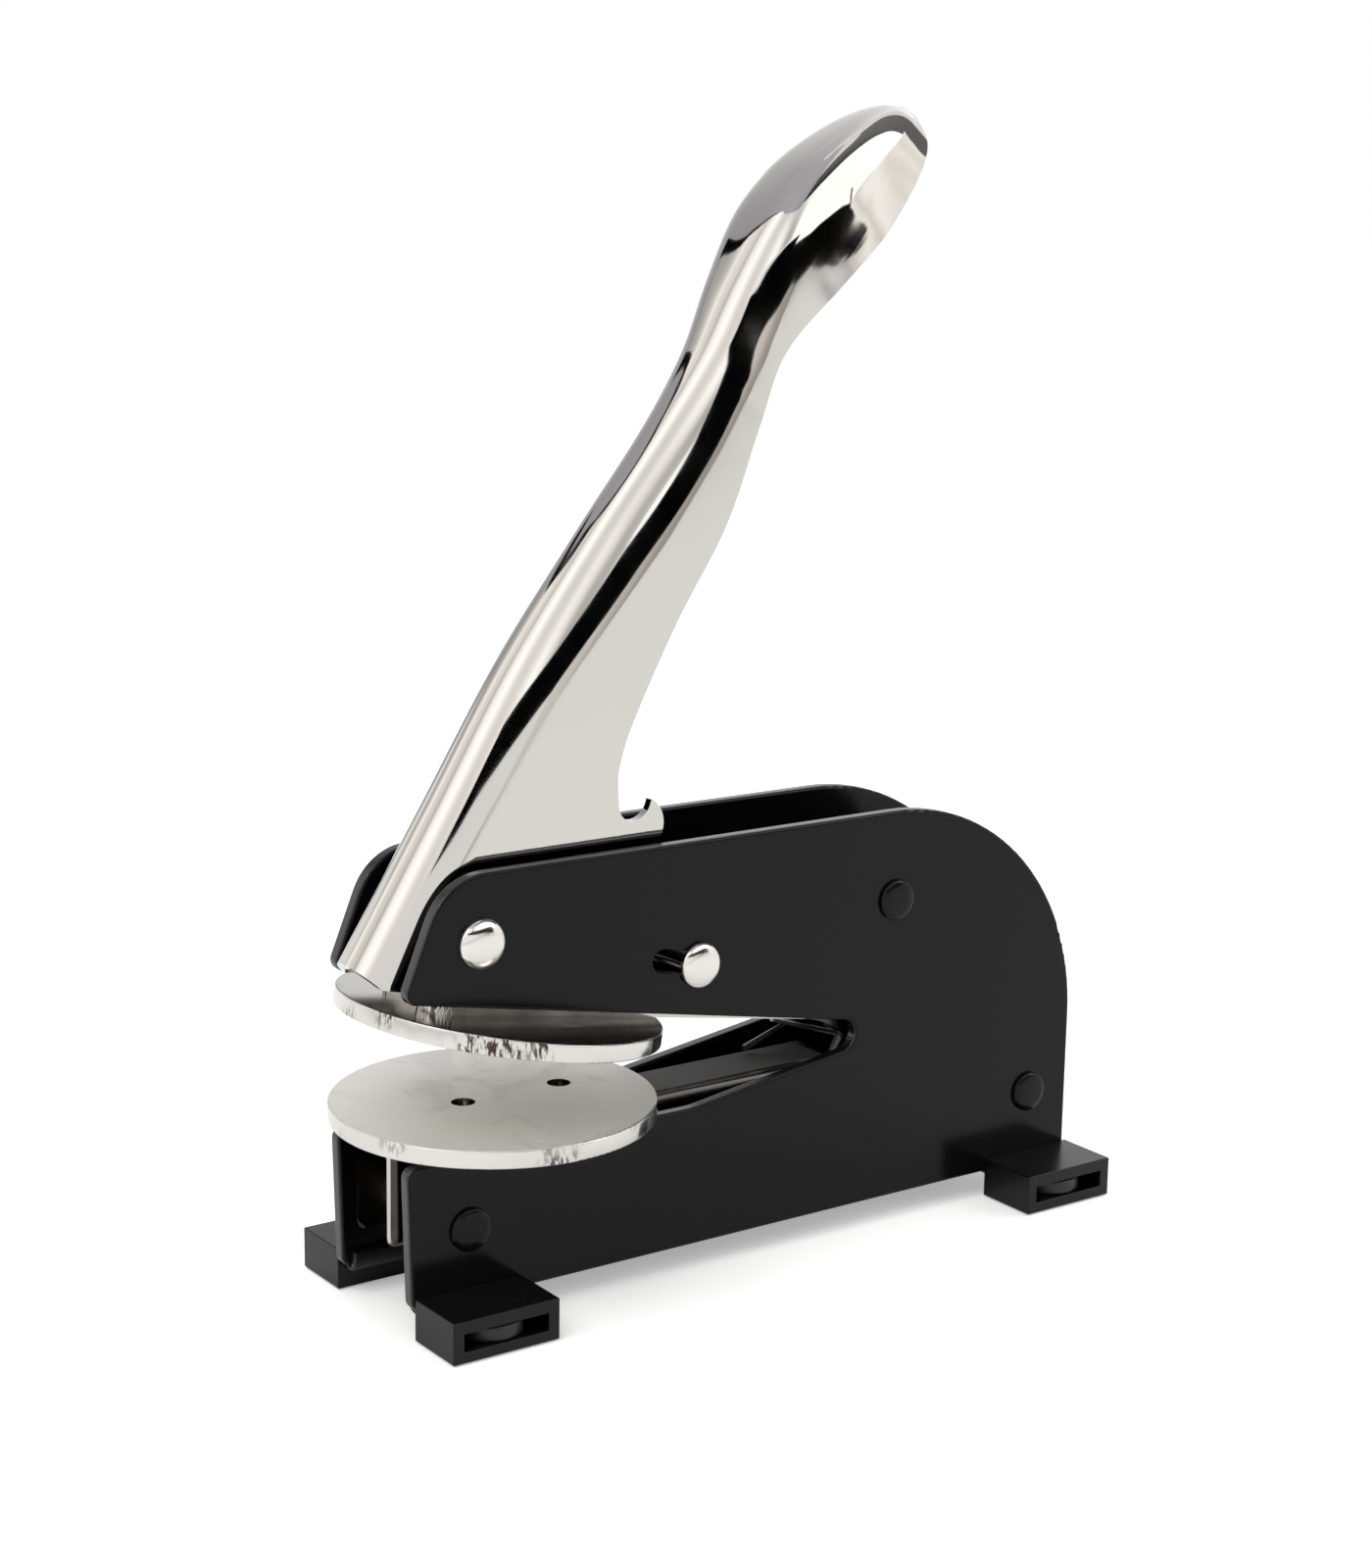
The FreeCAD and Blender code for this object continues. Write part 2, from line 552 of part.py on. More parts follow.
def press_arm():
    """Flat tongue on the upper die plate, with two ears folded down round the hinge pin."""
    body = new_body("press_arm")
    wall, half, rise = size("arm_wall"), size("arm_w") / 2, arm_rise()
    front = -size("hinge_x") - size("arm_front")
    ear, run, dip = size("arm_ear"), size("arm_ear_run"), size("arm_ear_dip")
    # the hollow is tangent to the floor at its start and meets the ear's circle on its flank
    hollow = (-run, rise - dip)
    gap = math.dist(hollow, (0, 0))
    aim = math.atan2(-hollow[1], -hollow[0])
    swing = math.acos((gap ** 2 + dip ** 2 - ear ** 2) / (2 * gap * dip)) if gap < dip + ear else 0.0
    meet = (hollow[0] + dip * math.cos(aim + swing), hollow[1] + dip * math.sin(aim + swing))
    start_turn, end_turn = math.pi / 2, aim + swing
    half_way = polar(dip, math.degrees(start_turn + end_turn) / 2, hollow)
    # the ear's circle runs from there under the pin and up to its top
    ear_middle = polar(ear, (math.degrees(math.atan2(meet[1], meet[0])) % 360 + 450) / 2)
    side = sketch_on(body, "arm_side", "XZ_Plane")
    side.addGeometry([
        line((front, rise), (-run, rise)),
        arc((-run, rise), half_way, meet),
        arc(meet, ear_middle, (0, ear)),
        line((0, ear), (-ear, rise + wall)),
        line((-ear, rise + wall), (front, rise + wall)),
        line((front, rise + wall), (front, rise)),
    ], False)
    pad(body, side, mm("arm_w"))
    hollow_out = sketch_on(body, "arm_hollow", "XZ_Plane")
    stop = -size("arm_floor_end")
    ahead, reach = front - OVERRUN, 3 * ear
    hollow_out.addGeometry(closed_lines([(ahead, -reach), (ahead, rise), (stop, rise),
                                         (stop, reach), (reach, reach), (reach, -reach)]), False)
    pocket(body, hollow_out, "(sizes.arm_w - 2 * sizes.arm_wall) * 1 mm")
    holes = sketch_on(body, "arm_pin_hole", "XZ_Plane")
    bound_circle(holes, "(sizes.hinge_pin_d / 2 + sizes.run_gap) * 1 mm")
    pocket(body, holes, "sizes.arm_w * 2 mm")
    screws = sketch_on(body, "arm_screw_holes", "XY_Plane")
    bound_circle(screws, "sizes.die_hole_d * 0.5 mm", "-(sizes.hinge_x + sizes.die_hole_front) * 1 mm")
    bound_circle(screws, "sizes.die_hole_d * 0.5 mm", "-(sizes.hinge_x - sizes.die_hole_back) * 1 mm")
    pocket(body, screws, "4 * sizes.arm_ear * 1 mm")
    doc.recompute()

    def is_front_corner(edge):
        return edge.BoundBox.ZLength > wall / 2 and abs(edge.CenterOfMass.x - front) < 1e-6 \
            and abs(abs(edge.CenterOfMass.y) - half) < 1e-6

    dress(body, "Fillet", edges_where(body.Tip.Shape, is_front_corner), mm("arm_corner"))
    place_on_arm(body)
    return finish(body, "press_arm")


press_arm()
place_on_arm(die_plate("upper_die_plate"), "-sizes.hinge_x * 1 mm",
             "(sizes.die_z + sizes.die_wall - sizes.hinge_z) * 1 mm")


def hinge_pin():
    body = new_body("hinge_pin")
    ring = sketch_on(body, "hinge_pin_round", "XZ_Plane")
    bound_circle(ring, "sizes.hinge_pin_d * 0.5 mm")
    pad(body, ring, mm("hinge_pin_l"))
    place(body, x=mm("hinge_x"), z=mm("hinge_z"))
    return finish(body, "hinge_pin")


hinge_pin()


# ---------------------------------------------------------------- arm spring

def arm_spring():
    """Torsion spring on the hinge pin: one leg lifts the arm, the other bears on the channel."""
    wire, mean = size("spring_wire") / 2, size("spring_coil") / 2
    turns, pitch, reach = size("spring_turns"), size("spring_pitch"), size("spring_leg")
    length = turns * pitch
    # the lifting leg starts under the coil and ends below the open arm's floor
    slope = math.radians(size("arm_rest"))
    floor = (-reach * math.cos(slope) + (arm_rise() - 2 * wire) * math.sin(slope),
             reach * math.sin(slope) + (arm_rise() - 2 * wire) * math.cos(slope))
    # the other leg starts over the coil and ends on the channel's web
    web = (-reach, size("die_z") - size("die_wall") - size("hinge_z") + 1.5 * wire)

    def tangent(end, side):
        """Where a leg to this end leaves the coil, on its upper (1) or lower (-1) side."""
        far = math.dist(end, (0, 0))
        angle = math.atan2(end[1], end[0]) - side * math.acos(mean / far)
        return mean * math.cos(angle), mean * math.sin(angle), angle

    lift_x, lift_z, lift_turn = tangent(floor, -1)
    rest_x, rest_z, rest_turn = tangent(web, 1)
    # a helix about Z from rest_turn to lift_turn, then turned so that its axis lies along Y
    extra = (lift_turn - rest_turn) / (2 * math.pi)
    whole = turns + (extra - math.floor(extra))
    helix = Part.makeHelix(pitch, whole * pitch, mean)
    helix.translate(Vector(0, 0, -whole * pitch / 2))
    helix.rotate(Vector(), Vector(0, 0, 1), math.degrees(rest_turn))
    helix.rotate(Vector(), Vector(1, 0, 0), 90)
    # the axis now runs along -Y, and turns from X towards Z
    first, last = helix.Edges[0], helix.Edges[-1]
    start = first.valueAt(first.FirstParameter)
    end = last.valueAt(last.LastParameter)
    legs = []
    for point, target in ((start, web), (end, floor)):
        legs.append(Part.makeCylinder(wire, (Vector(target[0], point.y, target[1]) - point).Length,
                                      point, Vector(target[0], point.y, target[1]) - point))
    ring = Part.Wire([Part.makeCircle(wire, start, first.tangentAt(first.FirstParameter))])
    coil = Part.Wire(helix.Edges).makePipeShell([ring], True, True)
    ends = [Part.makeSphere(wire, point) for point in (start, end)]
    shape = coil.multiFuse(legs + ends)
    feature = doc.addObject("Part::Feature", "arm_spring")
    feature.Label = "arm_spring"
    feature.Shape = shape
    place(feature, x=mm("hinge_x"), z=mm("hinge_z"))
    return finish(feature, "arm_spring")


arm_spring()


# ---------------------------------------------------------------- lever

# Sections of the lever, square to the line that starts at lever_base and rises at lever_lean.
# Each row: distance along the line, front face, end of the rounding (both across the line, the
# back is positive), share of the grip's widening from 0 to 1, squareness of the rounding, where
# 2 is an ellipse, and how far the walls draw in towards the back, per millimetre of depth.
# The distances are those of a lever that is 171 mm long, and scale with lever_l.
LEVER_SECTIONS = [
    (-8.0, -0.4, 6.6, 0.0, 2.0, 0.0),
    (27.0, -5.2, 2.8, 0.0, 2.0, 0.0),
    (54.0, -8.9, 0.3, 0.0, 2.0, 0.0),
    (79.0, -10.2, 0.3, 0.0, 2.0, 0.0),
    (100.0, -10.8, -0.8, 0.05, 2.0, 0.0),
    (114.0, -12.3, -3.0, 0.25, 2.2, 0.03),
    (126.0, -15.4, -6.0, 0.65, 2.5, 0.08),
    (138.0, -17.6, -8.2, 1.0, 2.8, 0.11),
    (147.0, -17.2, -8.0, 1.0, 2.8, 0.11),
    (153.0, -15.9, -7.3, 0.65, 2.8, 0.11),
    (160.0, -13.4, -5.8, 0.05, 2.6, 0.1),
    (165.0, -10.9, -4.3, -0.75, 2.4, 0.07),
    (168.5, -8.3, -3.1, -1.75, 2.2, 0.02),
    (171.0, -5.2, -1.9, -3.0, 2.0, 0.0),
]
# Back edge of the lever from the tip of the grip down to the hook, in the same two distances.
LEVER_BACK = [(163.5, 1.4), (150.0, 1.3), (137.5, -0.3), (122.0, -1.9), (109.7, 2.2),
              (93.7, 7.6), (75.8, 10.1), (58.6, 13.7), (51.0, 16.5), (47.8, 19.0)]
# Tip of the grip, from the front to the back.
LEVER_TIP = [(171.4, -4.6), (170.7, -1.8), (168.2, 0.6)]
# depth that the sections reach before the side outline trims them, and depth of the drawn walls
LEVER_DEPTH = 45.0
DRAWN_DEPTH = 20.0
SECTION_STEPS = 6
SECTION_COUNT = 30
TIP_CROWDING = 1.5


def smooth_between(rows, along):
    """A row of section values at any distance: a smooth curve through the rows of the table."""
    def slope(i, column):
        low, high = rows[max(i - 1, 0)], rows[min(i + 1, len(rows) - 1)]
        return (high[column] - low[column]) / (high[0] - low[0])

    i = max(k for k, row in enumerate(rows[:-1]) if row[0] <= along + 1e-9)
    span = rows[i + 1][0] - rows[i][0]
    part = (along - rows[i][0]) / span
    values = [along]
    for column in range(1, len(rows[0])):
        start, end = rows[i][column], rows[i + 1][column]
        start_slope, end_slope = slope(i, column) * span, slope(i + 1, column) * span
        values.append(start * (1 + 2 * part) * (1 - part) ** 2 + start_slope * part * (1 - part) ** 2
                      + end * part ** 2 * (3 - 2 * part) - end_slope * part ** 2 * (1 - part))
    return tuple(values)


def lever_scale():
    return size("lever_l") / LEVER_SECTIONS[-1][0]


def lever_rows():
    """Sections along the whole lever, closer together towards the tip of the grip."""
    first, tip = LEVER_SECTIONS[0][0], LEVER_SECTIONS[-1][0]
    shares = [1 - (1 - k / SECTION_COUNT) ** TIP_CROWDING for k in range(SECTION_COUNT + 1)]
    return [smooth_between(LEVER_SECTIONS, first + (tip - first) * share) for share in shares]


def lever_point(along, across, side=0.0):
    """A place from its distances along and across the lever's line, as in the table."""
    lean = math.radians(size("lever_lean"))
    along, across = along * lever_scale(), across * lever_scale()
    return Vector(size("lever_base_x") + along * math.cos(lean) + across * math.sin(lean), side,
                  size("lever_base_z") + along * math.sin(lean) - across * math.cos(lean))


def lever_section(row, inset):
    """One closed section. inset 0 is the outer skin, and the sheet's thickness the inner one."""
    along, front, crease, widening, square, draw = row
    along *= (size("lever_l") - inset) / size("lever_l")
    spread = (size("grip_w") - size("lever_w")) / 2
    half = size("lever_w") / 2 + spread * widening - inset
    front += inset / lever_scale()
    points = []
    for step in range(-SECTION_STEPS, SECTION_STEPS + 1):
        turn = math.radians(90.0 * step / SECTION_STEPS)
        bow = abs(math.cos(turn)) ** (2 / square)
        swell = math.copysign(abs(math.sin(turn)) ** (2 / square), step)
        points.append(lever_point(along, crease - (crease - front) * bow, half * swell))
    face = Part.BSplineCurve()
    face.interpolate(points)
    depth = LEVER_DEPTH + 4 * inset
    back = half - draw * min(depth - crease, DRAWN_DEPTH) * lever_scale()
    corners = [lever_point(along, depth, back), lever_point(along, depth, -back)]
    return Part.Wire([face.toShape(), Part.makeLine(points[-1], corners[0]),
                      Part.makeLine(corners[0], corners[1]), Part.makeLine(corners[1], points[0])])


def cam_points(count=9):
    """Lower edge of the flanges: it bears on the arm's floor at every angle of the lever.

    The floor is a line that turns about the arm's hinge by a fixed share of the lever's angle.
    Seen from the lever, those lines wrap round this curve.
    """
    share = size("arm_swing") / size("lever_swing")
    run = size("pivot_x") - size("hinge_x")
    lift = size("pivot_z") - size("hinge_z")
    points = []
    for step in range(count):
        swing = size("lever_swing") * step / (count - 1)
        slope = math.radians(size("arm_rest") - share * swing)
        away = run * math.sin(slope) + lift * math.cos(slope) \
            - arm_rise() - size("arm_wall") - size("cam_gap")
        rate = (run * math.cos(slope) - lift * math.sin(slope)) * -share / (1 + share)
        turn = -math.pi / 2 - slope + math.radians(swing)
        points.append((size("pivot_x") + away * math.cos(turn) - rate * math.sin(turn),
                       size("pivot_z") + away * math.sin(turn) + rate * math.cos(turn)))
    return points


def lever_side():
    """Side outline of the lever as one closed wire: toe, cam, hook, back edge, tip, outside."""
    def up(point):
        return Vector(point[0], 0, point[1])

    def spline(points):
        curve = Part.BSplineCurve()
        curve.interpolate(points)
        return curve.toShape()

    pivot = (size("pivot_x"), size("pivot_z"))
    cam = [up(p) for p in cam_points()]
    toe = up((size("toe_x"), size("toe_z")))
    outside = toe + Vector(-size("grip_w"), 0, size("grip_w"))
    back = [lever_point(*p) for p in reversed(LEVER_BACK)]
    tip = [lever_point(*p) for p in reversed(LEVER_TIP)]
    far = [lever_point(LEVER_TIP[0][0], -LEVER_DEPTH), lever_point(-LEVER_DEPTH / 4, -LEVER_DEPTH)]
    # the lock pin stands still here when it is off, and passes the hook's outer curve
    lock_reach = math.dist(pivot, (size("lock_x"), size("lock_z")))
    hook_r, notch_r, heel_r = size("hook_r"), size("notch_r"), size("notch_heel_r")
    hook = polar(lock_reach - size("lock_d") / 2 - size("hook_gap") - hook_r, size("hook_rise"), pivot)
    # the straight edge from the cam is tangent to that curve
    away = math.dist(hook, (cam[-1].x, cam[-1].z))
    heading = math.atan2(hook[1] - cam[-1].z, hook[0] - cam[-1].x) - math.asin(hook_r / away)
    heel_turn = math.degrees(heading) - 90
    # the notch is two arcs that meet at its bottom
    notch = polar(lock_reach - size("lock_travel"), size("notch_rise"), pivot)
    bottom = (notch[0], notch[1] - notch_r)
    heel = (bottom[0], bottom[1] + heel_r)
    # where the notch and the outer curve cross, seen from each centre, less the beak's round tip
    span, slope = math.dist(hook, notch), math.atan2(hook[1] - notch[1], hook[0] - notch[0])
    inner = math.acos((span ** 2 + notch_r ** 2 - hook_r ** 2) / (2 * span * notch_r))
    outer = math.acos((span ** 2 + hook_r ** 2 - notch_r ** 2) / (2 * span * hook_r))
    beak = size("beak_r")
    inner_turn = math.degrees(slope + inner - beak / notch_r)
    outer_turn = math.degrees(slope + math.pi - outer - beak / hook_r)
    beak_in, beak_out = polar(notch_r, inner_turn, notch), polar(hook_r, outer_turn, hook)
    crossing = polar(notch_r, math.degrees(slope + inner), notch)
    beak_top = [(a + b) / 4 + c / 2 for a, b, c in zip(beak_in, beak_out, crossing)]
    edges = [
        Part.makeLine(outside, toe),
        Part.makeLine(toe, cam[0]),
        spline(cam),
        Part.makeLine(cam[-1], up(polar(hook_r, heel_turn, hook))),
        Part.Arc(up(polar(hook_r, heel_turn, hook)), up(polar(hook_r, (heel_turn + outer_turn) / 2, hook)),
                 up(beak_out)).toShape(),
        Part.Arc(up(beak_out), up(beak_top), up(beak_in)).toShape(),
        Part.Arc(up(beak_in), up(polar(notch_r, (inner_turn - 90) / 2, notch)), up(bottom)).toShape(),
        Part.Arc(up(bottom), up(polar(heel_r, 225, heel)), up(polar(heel_r, 180, heel))).toShape(),
        Part.makeLine(up(polar(heel_r, 180, heel)), back[0]),
        spline(back),
        spline([back[-1]] + tip),
        Part.makeLine(tip[-1], far[0]),
        Part.makeLine(far[0], far[1]),
        Part.makeLine(far[1], outside),
    ]
    return Part.Wire(edges)


def lever():
    """Pressed handle: a round-fronted channel, open at the back, with the grip at its top."""
    skins = []
    for inset in (0.0, size("lever_wall")):
        wires = [lever_section(row, inset) for row in lever_rows()]
        skins.append(Part.makeLoft(wires, True, False))
    shell = skins[0].cut(skins[1])
    reach = Vector(0, 2 * size("grip_w"), 0)
    blank = Part.Face(lever_side())
    blank.translate(reach * -0.5)
    shape = shell.common(blank.extrude(reach))
    hole = Part.makeCylinder(size("pivot_d") / 2 + size("run_gap"), reach.Length,
                             Vector(size("pivot_x"), -reach.Length / 2, size("pivot_z")),
                             Vector(0, 1, 0))
    feature = doc.addObject("Part::Feature", "lever")
    feature.Label = "lever"
    feature.Shape = shape.cut(hole)
    place(feature)
    return finish(feature, "lever")


lever()


# ---------------------------------------------------------------- feet

# centre of the rubber pad from the middle plane
PAD_Y = "(sizes.foot_out - sizes.pad_inset - sizes.pad_d / 2) * 1 mm"


def foot(label, x, side):
    """Plastic foot that clips on the plate's lower edge. Drawn for the left, +Y, side."""
    body = new_body(label)
    inner = size("frame_gap") / 2
    outer = inner + size("plate_wall")
    out, low = size("foot_out"), size("foot_lift")
    seat, top = size("plate_bottom"), size("foot_top")
    floor = seat - size("clip_floor")
    block = sketch_on(body, label + "_block", "YZ_Plane")
    block.addGeometry(closed_lines([(out, low), (out, top), (outer, top), (outer, low)]), False)
    pad(body, block, mm("foot_l"))
    lip, bend = inner - size("clip_wall"), size("clip_bend")
    bow = bend * (1 - math.sqrt(0.5))
    clip = sketch_on(body, label + "_clip", "YZ_Plane")
    clip.addGeometry([
        line((outer + bend, floor), (outer + bend, seat)),
        line((outer + bend, seat), (inner, seat)),
        line((inner, seat), (inner, size("clip_top"))),
        line((inner, size("clip_top")), (lip, size("clip_top"))),
        line((lip, size("clip_top")), (lip, floor + bend)),
        arc((lip, floor + bend), (lip + bow, floor + bow), (lip + bend, floor)),
        line((lip + bend, floor), (outer + bend, floor)),
    ], False)
    pad(body, clip, "(sizes.foot_l - 2 * sizes.clip_inset) * 1 mm")
    window = sketch_on(body, label + "_window", "YZ_Plane")
    sill, head, deep = size("window_z"), size("window_z") + size("window_h"), size("window_deep")
    window.addGeometry(closed_lines([(out + OVERRUN, sill), (out + OVERRUN, head),
                                     (out - deep, head), (out - deep, sill)]), False)
    pocket(body, window, mm("window_l"))
    hole = sketch_on(body, label + "_pad_hole", "XY_Plane")
    bound_circle(hole, "sizes.pad_boss_d * 0.5 mm", "0 mm", PAD_Y)
    pocket(body, hole, "(sizes.window_z + sizes.window_h / 2) * 1 mm", middle=False, up=True)
    place(body, x=mm(x), turn=(Vector(0, 0, 1), "%d deg" % (90 - 90 * side)))
    return finish(body, label)


def rubber_pad(label, x, side):
    """Rubber button in the foot's window, whose boss reaches the table."""
    body = new_body(label)
    rim, boss, soft = size("pad_d") / 2, size("pad_boss_d") / 2, size("pad_round")
    low, top = size("window_z"), size("window_z") + size("pad_h")
    profile = sketch_on(body, label + "_profile", "XZ_Plane")
    bevel = soft * (1 - math.sqrt(0.5))
    profile.addGeometry([
        line((0, 0), (boss, 0)),
        line((boss, 0), (boss, low)),
        line((boss, low), (rim - soft, low)),
        arc((rim - soft, low), (rim - bevel, low + bevel), (rim, low + soft)),
        line((rim, low + soft), (rim, top - soft)),
        arc((rim, top - soft), (rim - bevel, top - bevel), (rim - soft, top)),
        line((rim - soft, top), (0, top)),
        line((0, top), (0, 0)),
    ], False)
    revolve(body, profile)
    place(body, x=mm(x), y="(%s) * %d" % (PAD_Y, side))
    return finish(body, label)



for end in ("front", "back"):
    for side, sign in (("left", 1), ("right", -1)):
        foot("foot_%s_%s" % (end, side), "foot_%s_x" % end, sign)
        rubber_pad("pad_%s_%s" % (end, side), "foot_%s_x" % end, sign)


# ---------------------------------------------------------------- centre, check and write

doc.recompute()
low = min(piece.Shape.optimalBoundingBox(False, False).XMin for piece in pieces.values())
high = max(piece.Shape.optimalBoundingBox(False, False).XMax for piece in pieces.values())
sheet.set("origin_x", str(-(low + high) / 2))
doc.recompute()

for item in doc.Objects:
    if "Invalid" in item.State or "Error" in item.State:
        raise RuntimeError("%s failed: %s" % (item.Label, item.State))
for name, piece in pieces.items():
    if piece.Shape.isNull() or not piece.Shape.isValid() or not piece.Shape.Solids:
        raise RuntimeError("%s has no valid solid" % name)

os.makedirs("parts", exist_ok=True)
for name, piece in pieces.items():
    piece.Shape.exportStep("parts/%s.step" % name)
    box = piece.Shape.BoundBox
    print("%-20s %9.1f mm3  %d solid  X %.1f..%.1f  Y %.1f..%.1f  Z %.1f..%.1f" % (
        name, piece.Shape.Volume, len(piece.Shape.Solids), box.XMin, box.XMax, box.YMin, box.YMax,
        box.ZMin, box.ZMax))
print("die axis at X = %.3f" % size("origin_x"))
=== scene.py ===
# %% [markdown]
# # A desk seal embosser
#
# The real machine is a small lever press. Two black enamelled side plates carry everything. A long
# nickel-plated lever turns between them and pushes a hinged arm down, and the arm closes one round
# steel plate on another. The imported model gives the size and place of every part. This script gives
# them their finish, rebuilds the parts that need a smoother surface, and adds the small marks that
# pressing, blanking and moulding leave.

# %% Load the frame
import json
from math import acos, asin, atan2, copysign, cos, dist, floor, hypot, pi, radians, sin

import bmesh
import bpy
from mathutils import Matrix, Vector

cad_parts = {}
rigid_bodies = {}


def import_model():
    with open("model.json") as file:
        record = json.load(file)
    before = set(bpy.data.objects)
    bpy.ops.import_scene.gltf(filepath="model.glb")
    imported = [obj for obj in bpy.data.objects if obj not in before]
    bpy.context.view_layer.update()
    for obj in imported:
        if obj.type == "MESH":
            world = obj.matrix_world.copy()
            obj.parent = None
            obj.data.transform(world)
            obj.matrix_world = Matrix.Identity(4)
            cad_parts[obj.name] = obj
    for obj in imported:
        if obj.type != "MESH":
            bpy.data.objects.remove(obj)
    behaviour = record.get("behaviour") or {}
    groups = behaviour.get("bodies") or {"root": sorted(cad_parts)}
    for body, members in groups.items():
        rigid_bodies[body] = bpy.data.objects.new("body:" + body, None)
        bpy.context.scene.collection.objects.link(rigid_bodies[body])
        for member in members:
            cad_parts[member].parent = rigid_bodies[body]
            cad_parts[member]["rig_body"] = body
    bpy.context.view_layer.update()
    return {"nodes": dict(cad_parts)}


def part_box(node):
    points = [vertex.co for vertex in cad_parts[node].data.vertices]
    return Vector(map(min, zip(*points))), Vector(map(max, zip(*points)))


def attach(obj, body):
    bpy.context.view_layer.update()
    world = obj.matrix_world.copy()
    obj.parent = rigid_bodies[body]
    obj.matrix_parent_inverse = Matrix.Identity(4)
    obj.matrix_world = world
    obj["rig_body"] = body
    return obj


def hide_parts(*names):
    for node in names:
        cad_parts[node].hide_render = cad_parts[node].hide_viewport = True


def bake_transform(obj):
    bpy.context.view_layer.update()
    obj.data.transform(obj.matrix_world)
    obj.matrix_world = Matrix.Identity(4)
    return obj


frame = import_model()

MM = 0.001
QUARTER = pi / 2


def middle(node):
    """Centre of a part's box, in metres."""
    low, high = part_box(node)
    return (low + high) / 2


def half_size(node):
    """Half of a part's box, in millimetres."""
    low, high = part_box(node)
    return (high - low) / (2 * MM)


def shares(count):
    """Even steps from 0 to 1."""
    return [i / count for i in range(count + 1)]


def new_object(name, data):
    """An object in the scene with that data."""
    made = bpy.data.objects.new(name, data)
    bpy.context.scene.collection.objects.link(made)
    return made


disc_low, disc_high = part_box("lower_die_plate")
pivot, lock, hinge = middle("lever_pivot_pin"), middle("lock_pin"), middle("hinge_pin")
# height of the upper plate's seat over the hinge when both plates meet
ARM_RISE = (2 * disc_high.z - disc_low.z - hinge.z) / MM

# %% [markdown]
# ## Camera
#
# Two angles say where the camera looks, azimuth round the machine and dip down at the table, and a
# small roll tips the horizon as a hand-set tripod does. A longish lens keeps the side plates nearly
# parallel, as in a catalogue picture.

# %% Camera
CAMERA_PLACE = Vector((-275.87, -375.53, 181.96)) * MM
CAMERA_AZIMUTH = radians(35.618)
CAMERA_DIP = radians(12.274)
CAMERA_ROLL = radians(0.927)
LENS, CLIP = 64.59, (0.01, 50.0)

forward = Vector((sin(CAMERA_AZIMUTH) * cos(CAMERA_DIP),
                  cos(CAMERA_AZIMUTH) * cos(CAMERA_DIP), -sin(CAMERA_DIP)))
level = Vector((cos(CAMERA_AZIMUTH), -sin(CAMERA_AZIMUTH), 0))
upright = level.cross(forward)
across = level * cos(CAMERA_ROLL) + upright * sin(CAMERA_ROLL)
above = upright * cos(CAMERA_ROLL) - level * sin(CAMERA_ROLL)

camera_data = bpy.data.cameras.new("catalogue_camera")
camera_data.lens = LENS
camera_data.clip_start, camera_data.clip_end = CLIP
camera = new_object("catalogue_camera", camera_data)
camera.matrix_world = Matrix.Translation(CAMERA_PLACE) @ Matrix(
    (across, above, -forward)).transposed().to_4x4()
bpy.context.scene.camera = camera
bpy.context.scene.view_settings.view_transform = "Standard"
print("camera at", [round(c, 3) for c in CAMERA_PLACE], "with a %.1f mm lens" % LENS)

# %% [markdown]
# ## Helpers for materials
#
# Colours are picked as the hex values that a screen shows, but Blender reckons in linear light, so
# one function converts them. Node trees are wordy in Python, so add_node adds a node with its
# settings, values and links in one go.

# %% Colour and node helpers
def linear(hex_colour):
    """A hex colour, such as "#C8C4BE", as linear red, green, blue and an alpha of 1."""
    parts = [int(hex_colour[i:i + 2], 16) / 255 for i in (1, 3, 5)]
    return [c / 12.92 if c <= 0.04045 else ((c + 0.055) / 1.055) ** 2.4 for c in parts] + [1.0]


def empty_tree(owner):
    """The cleared node tree of a material or world."""
    owner.use_nodes = True
    owner.node_tree.nodes.clear()
    return owner.node_tree


def add_node(tree, kind, settings=None, inputs=None):
    """One node. An input is either a value or another node's output, which is linked."""
    node = tree.nodes.new(kind)
    for name, value in (settings or {}).items():
        setattr(node, name, value)
    for name, value in (inputs or {}).items():
        if isinstance(value, bpy.types.NodeSocket):
            tree.links.new(value, node.inputs[name])
        else:
            node.inputs[name].default_value = value
    return node


def start_material(name, values):
    """A new material with these values on a Principled shader. Returns it with its tree, its
    shader's inputs and the coordinates."""
    print("finish:", name)
    material = bpy.data.materials.new(name)
    tree = empty_tree(material)
    shader = add_node(tree, "ShaderNodeBsdfPrincipled", inputs=values)
    add_node(tree, "ShaderNodeOutputMaterial", inputs={"Surface": shader.outputs["BSDF"]})
    place = add_node(tree, "ShaderNodeTexCoord").outputs["Object"]
    return material, tree, shader.inputs, place


def per_metre(millimetres):
    """Scale of a texture on Object coordinates whose features are this wide."""
    return 1 / (millimetres * MM)

# %% [markdown]
# ## Floor, backdrop and light
#
# A catalogue picture has a white sweep and big soft lamps. The floor is a plain pale plane. Nickel
# shows what stands round it, so the world is white for camera and mirror rays, and a little lower
# for the light that falls on the machine. Photographers hang cards round shiny metal, because a
# mirror has no look of its own. The same cards are curved strips here, painted from edge to edge,
# and only mirror rays see them.

# %% Floor
FLOOR_REACH = 6.0
NEAR, FAR, LIFT_NEAR, LIFT_FAR = 0.12, 1.0, 0.33, 0.47  # metres, and the paper's own light
BLACK, WHITE = "#030303", "#FFFFFF"
floor_material, tree, shader, place = start_material("white_paper_sweep", {
    "Base Color": linear("#F1F1F0"), "Roughness": 0.9, "Specular IOR Level": 0.1})
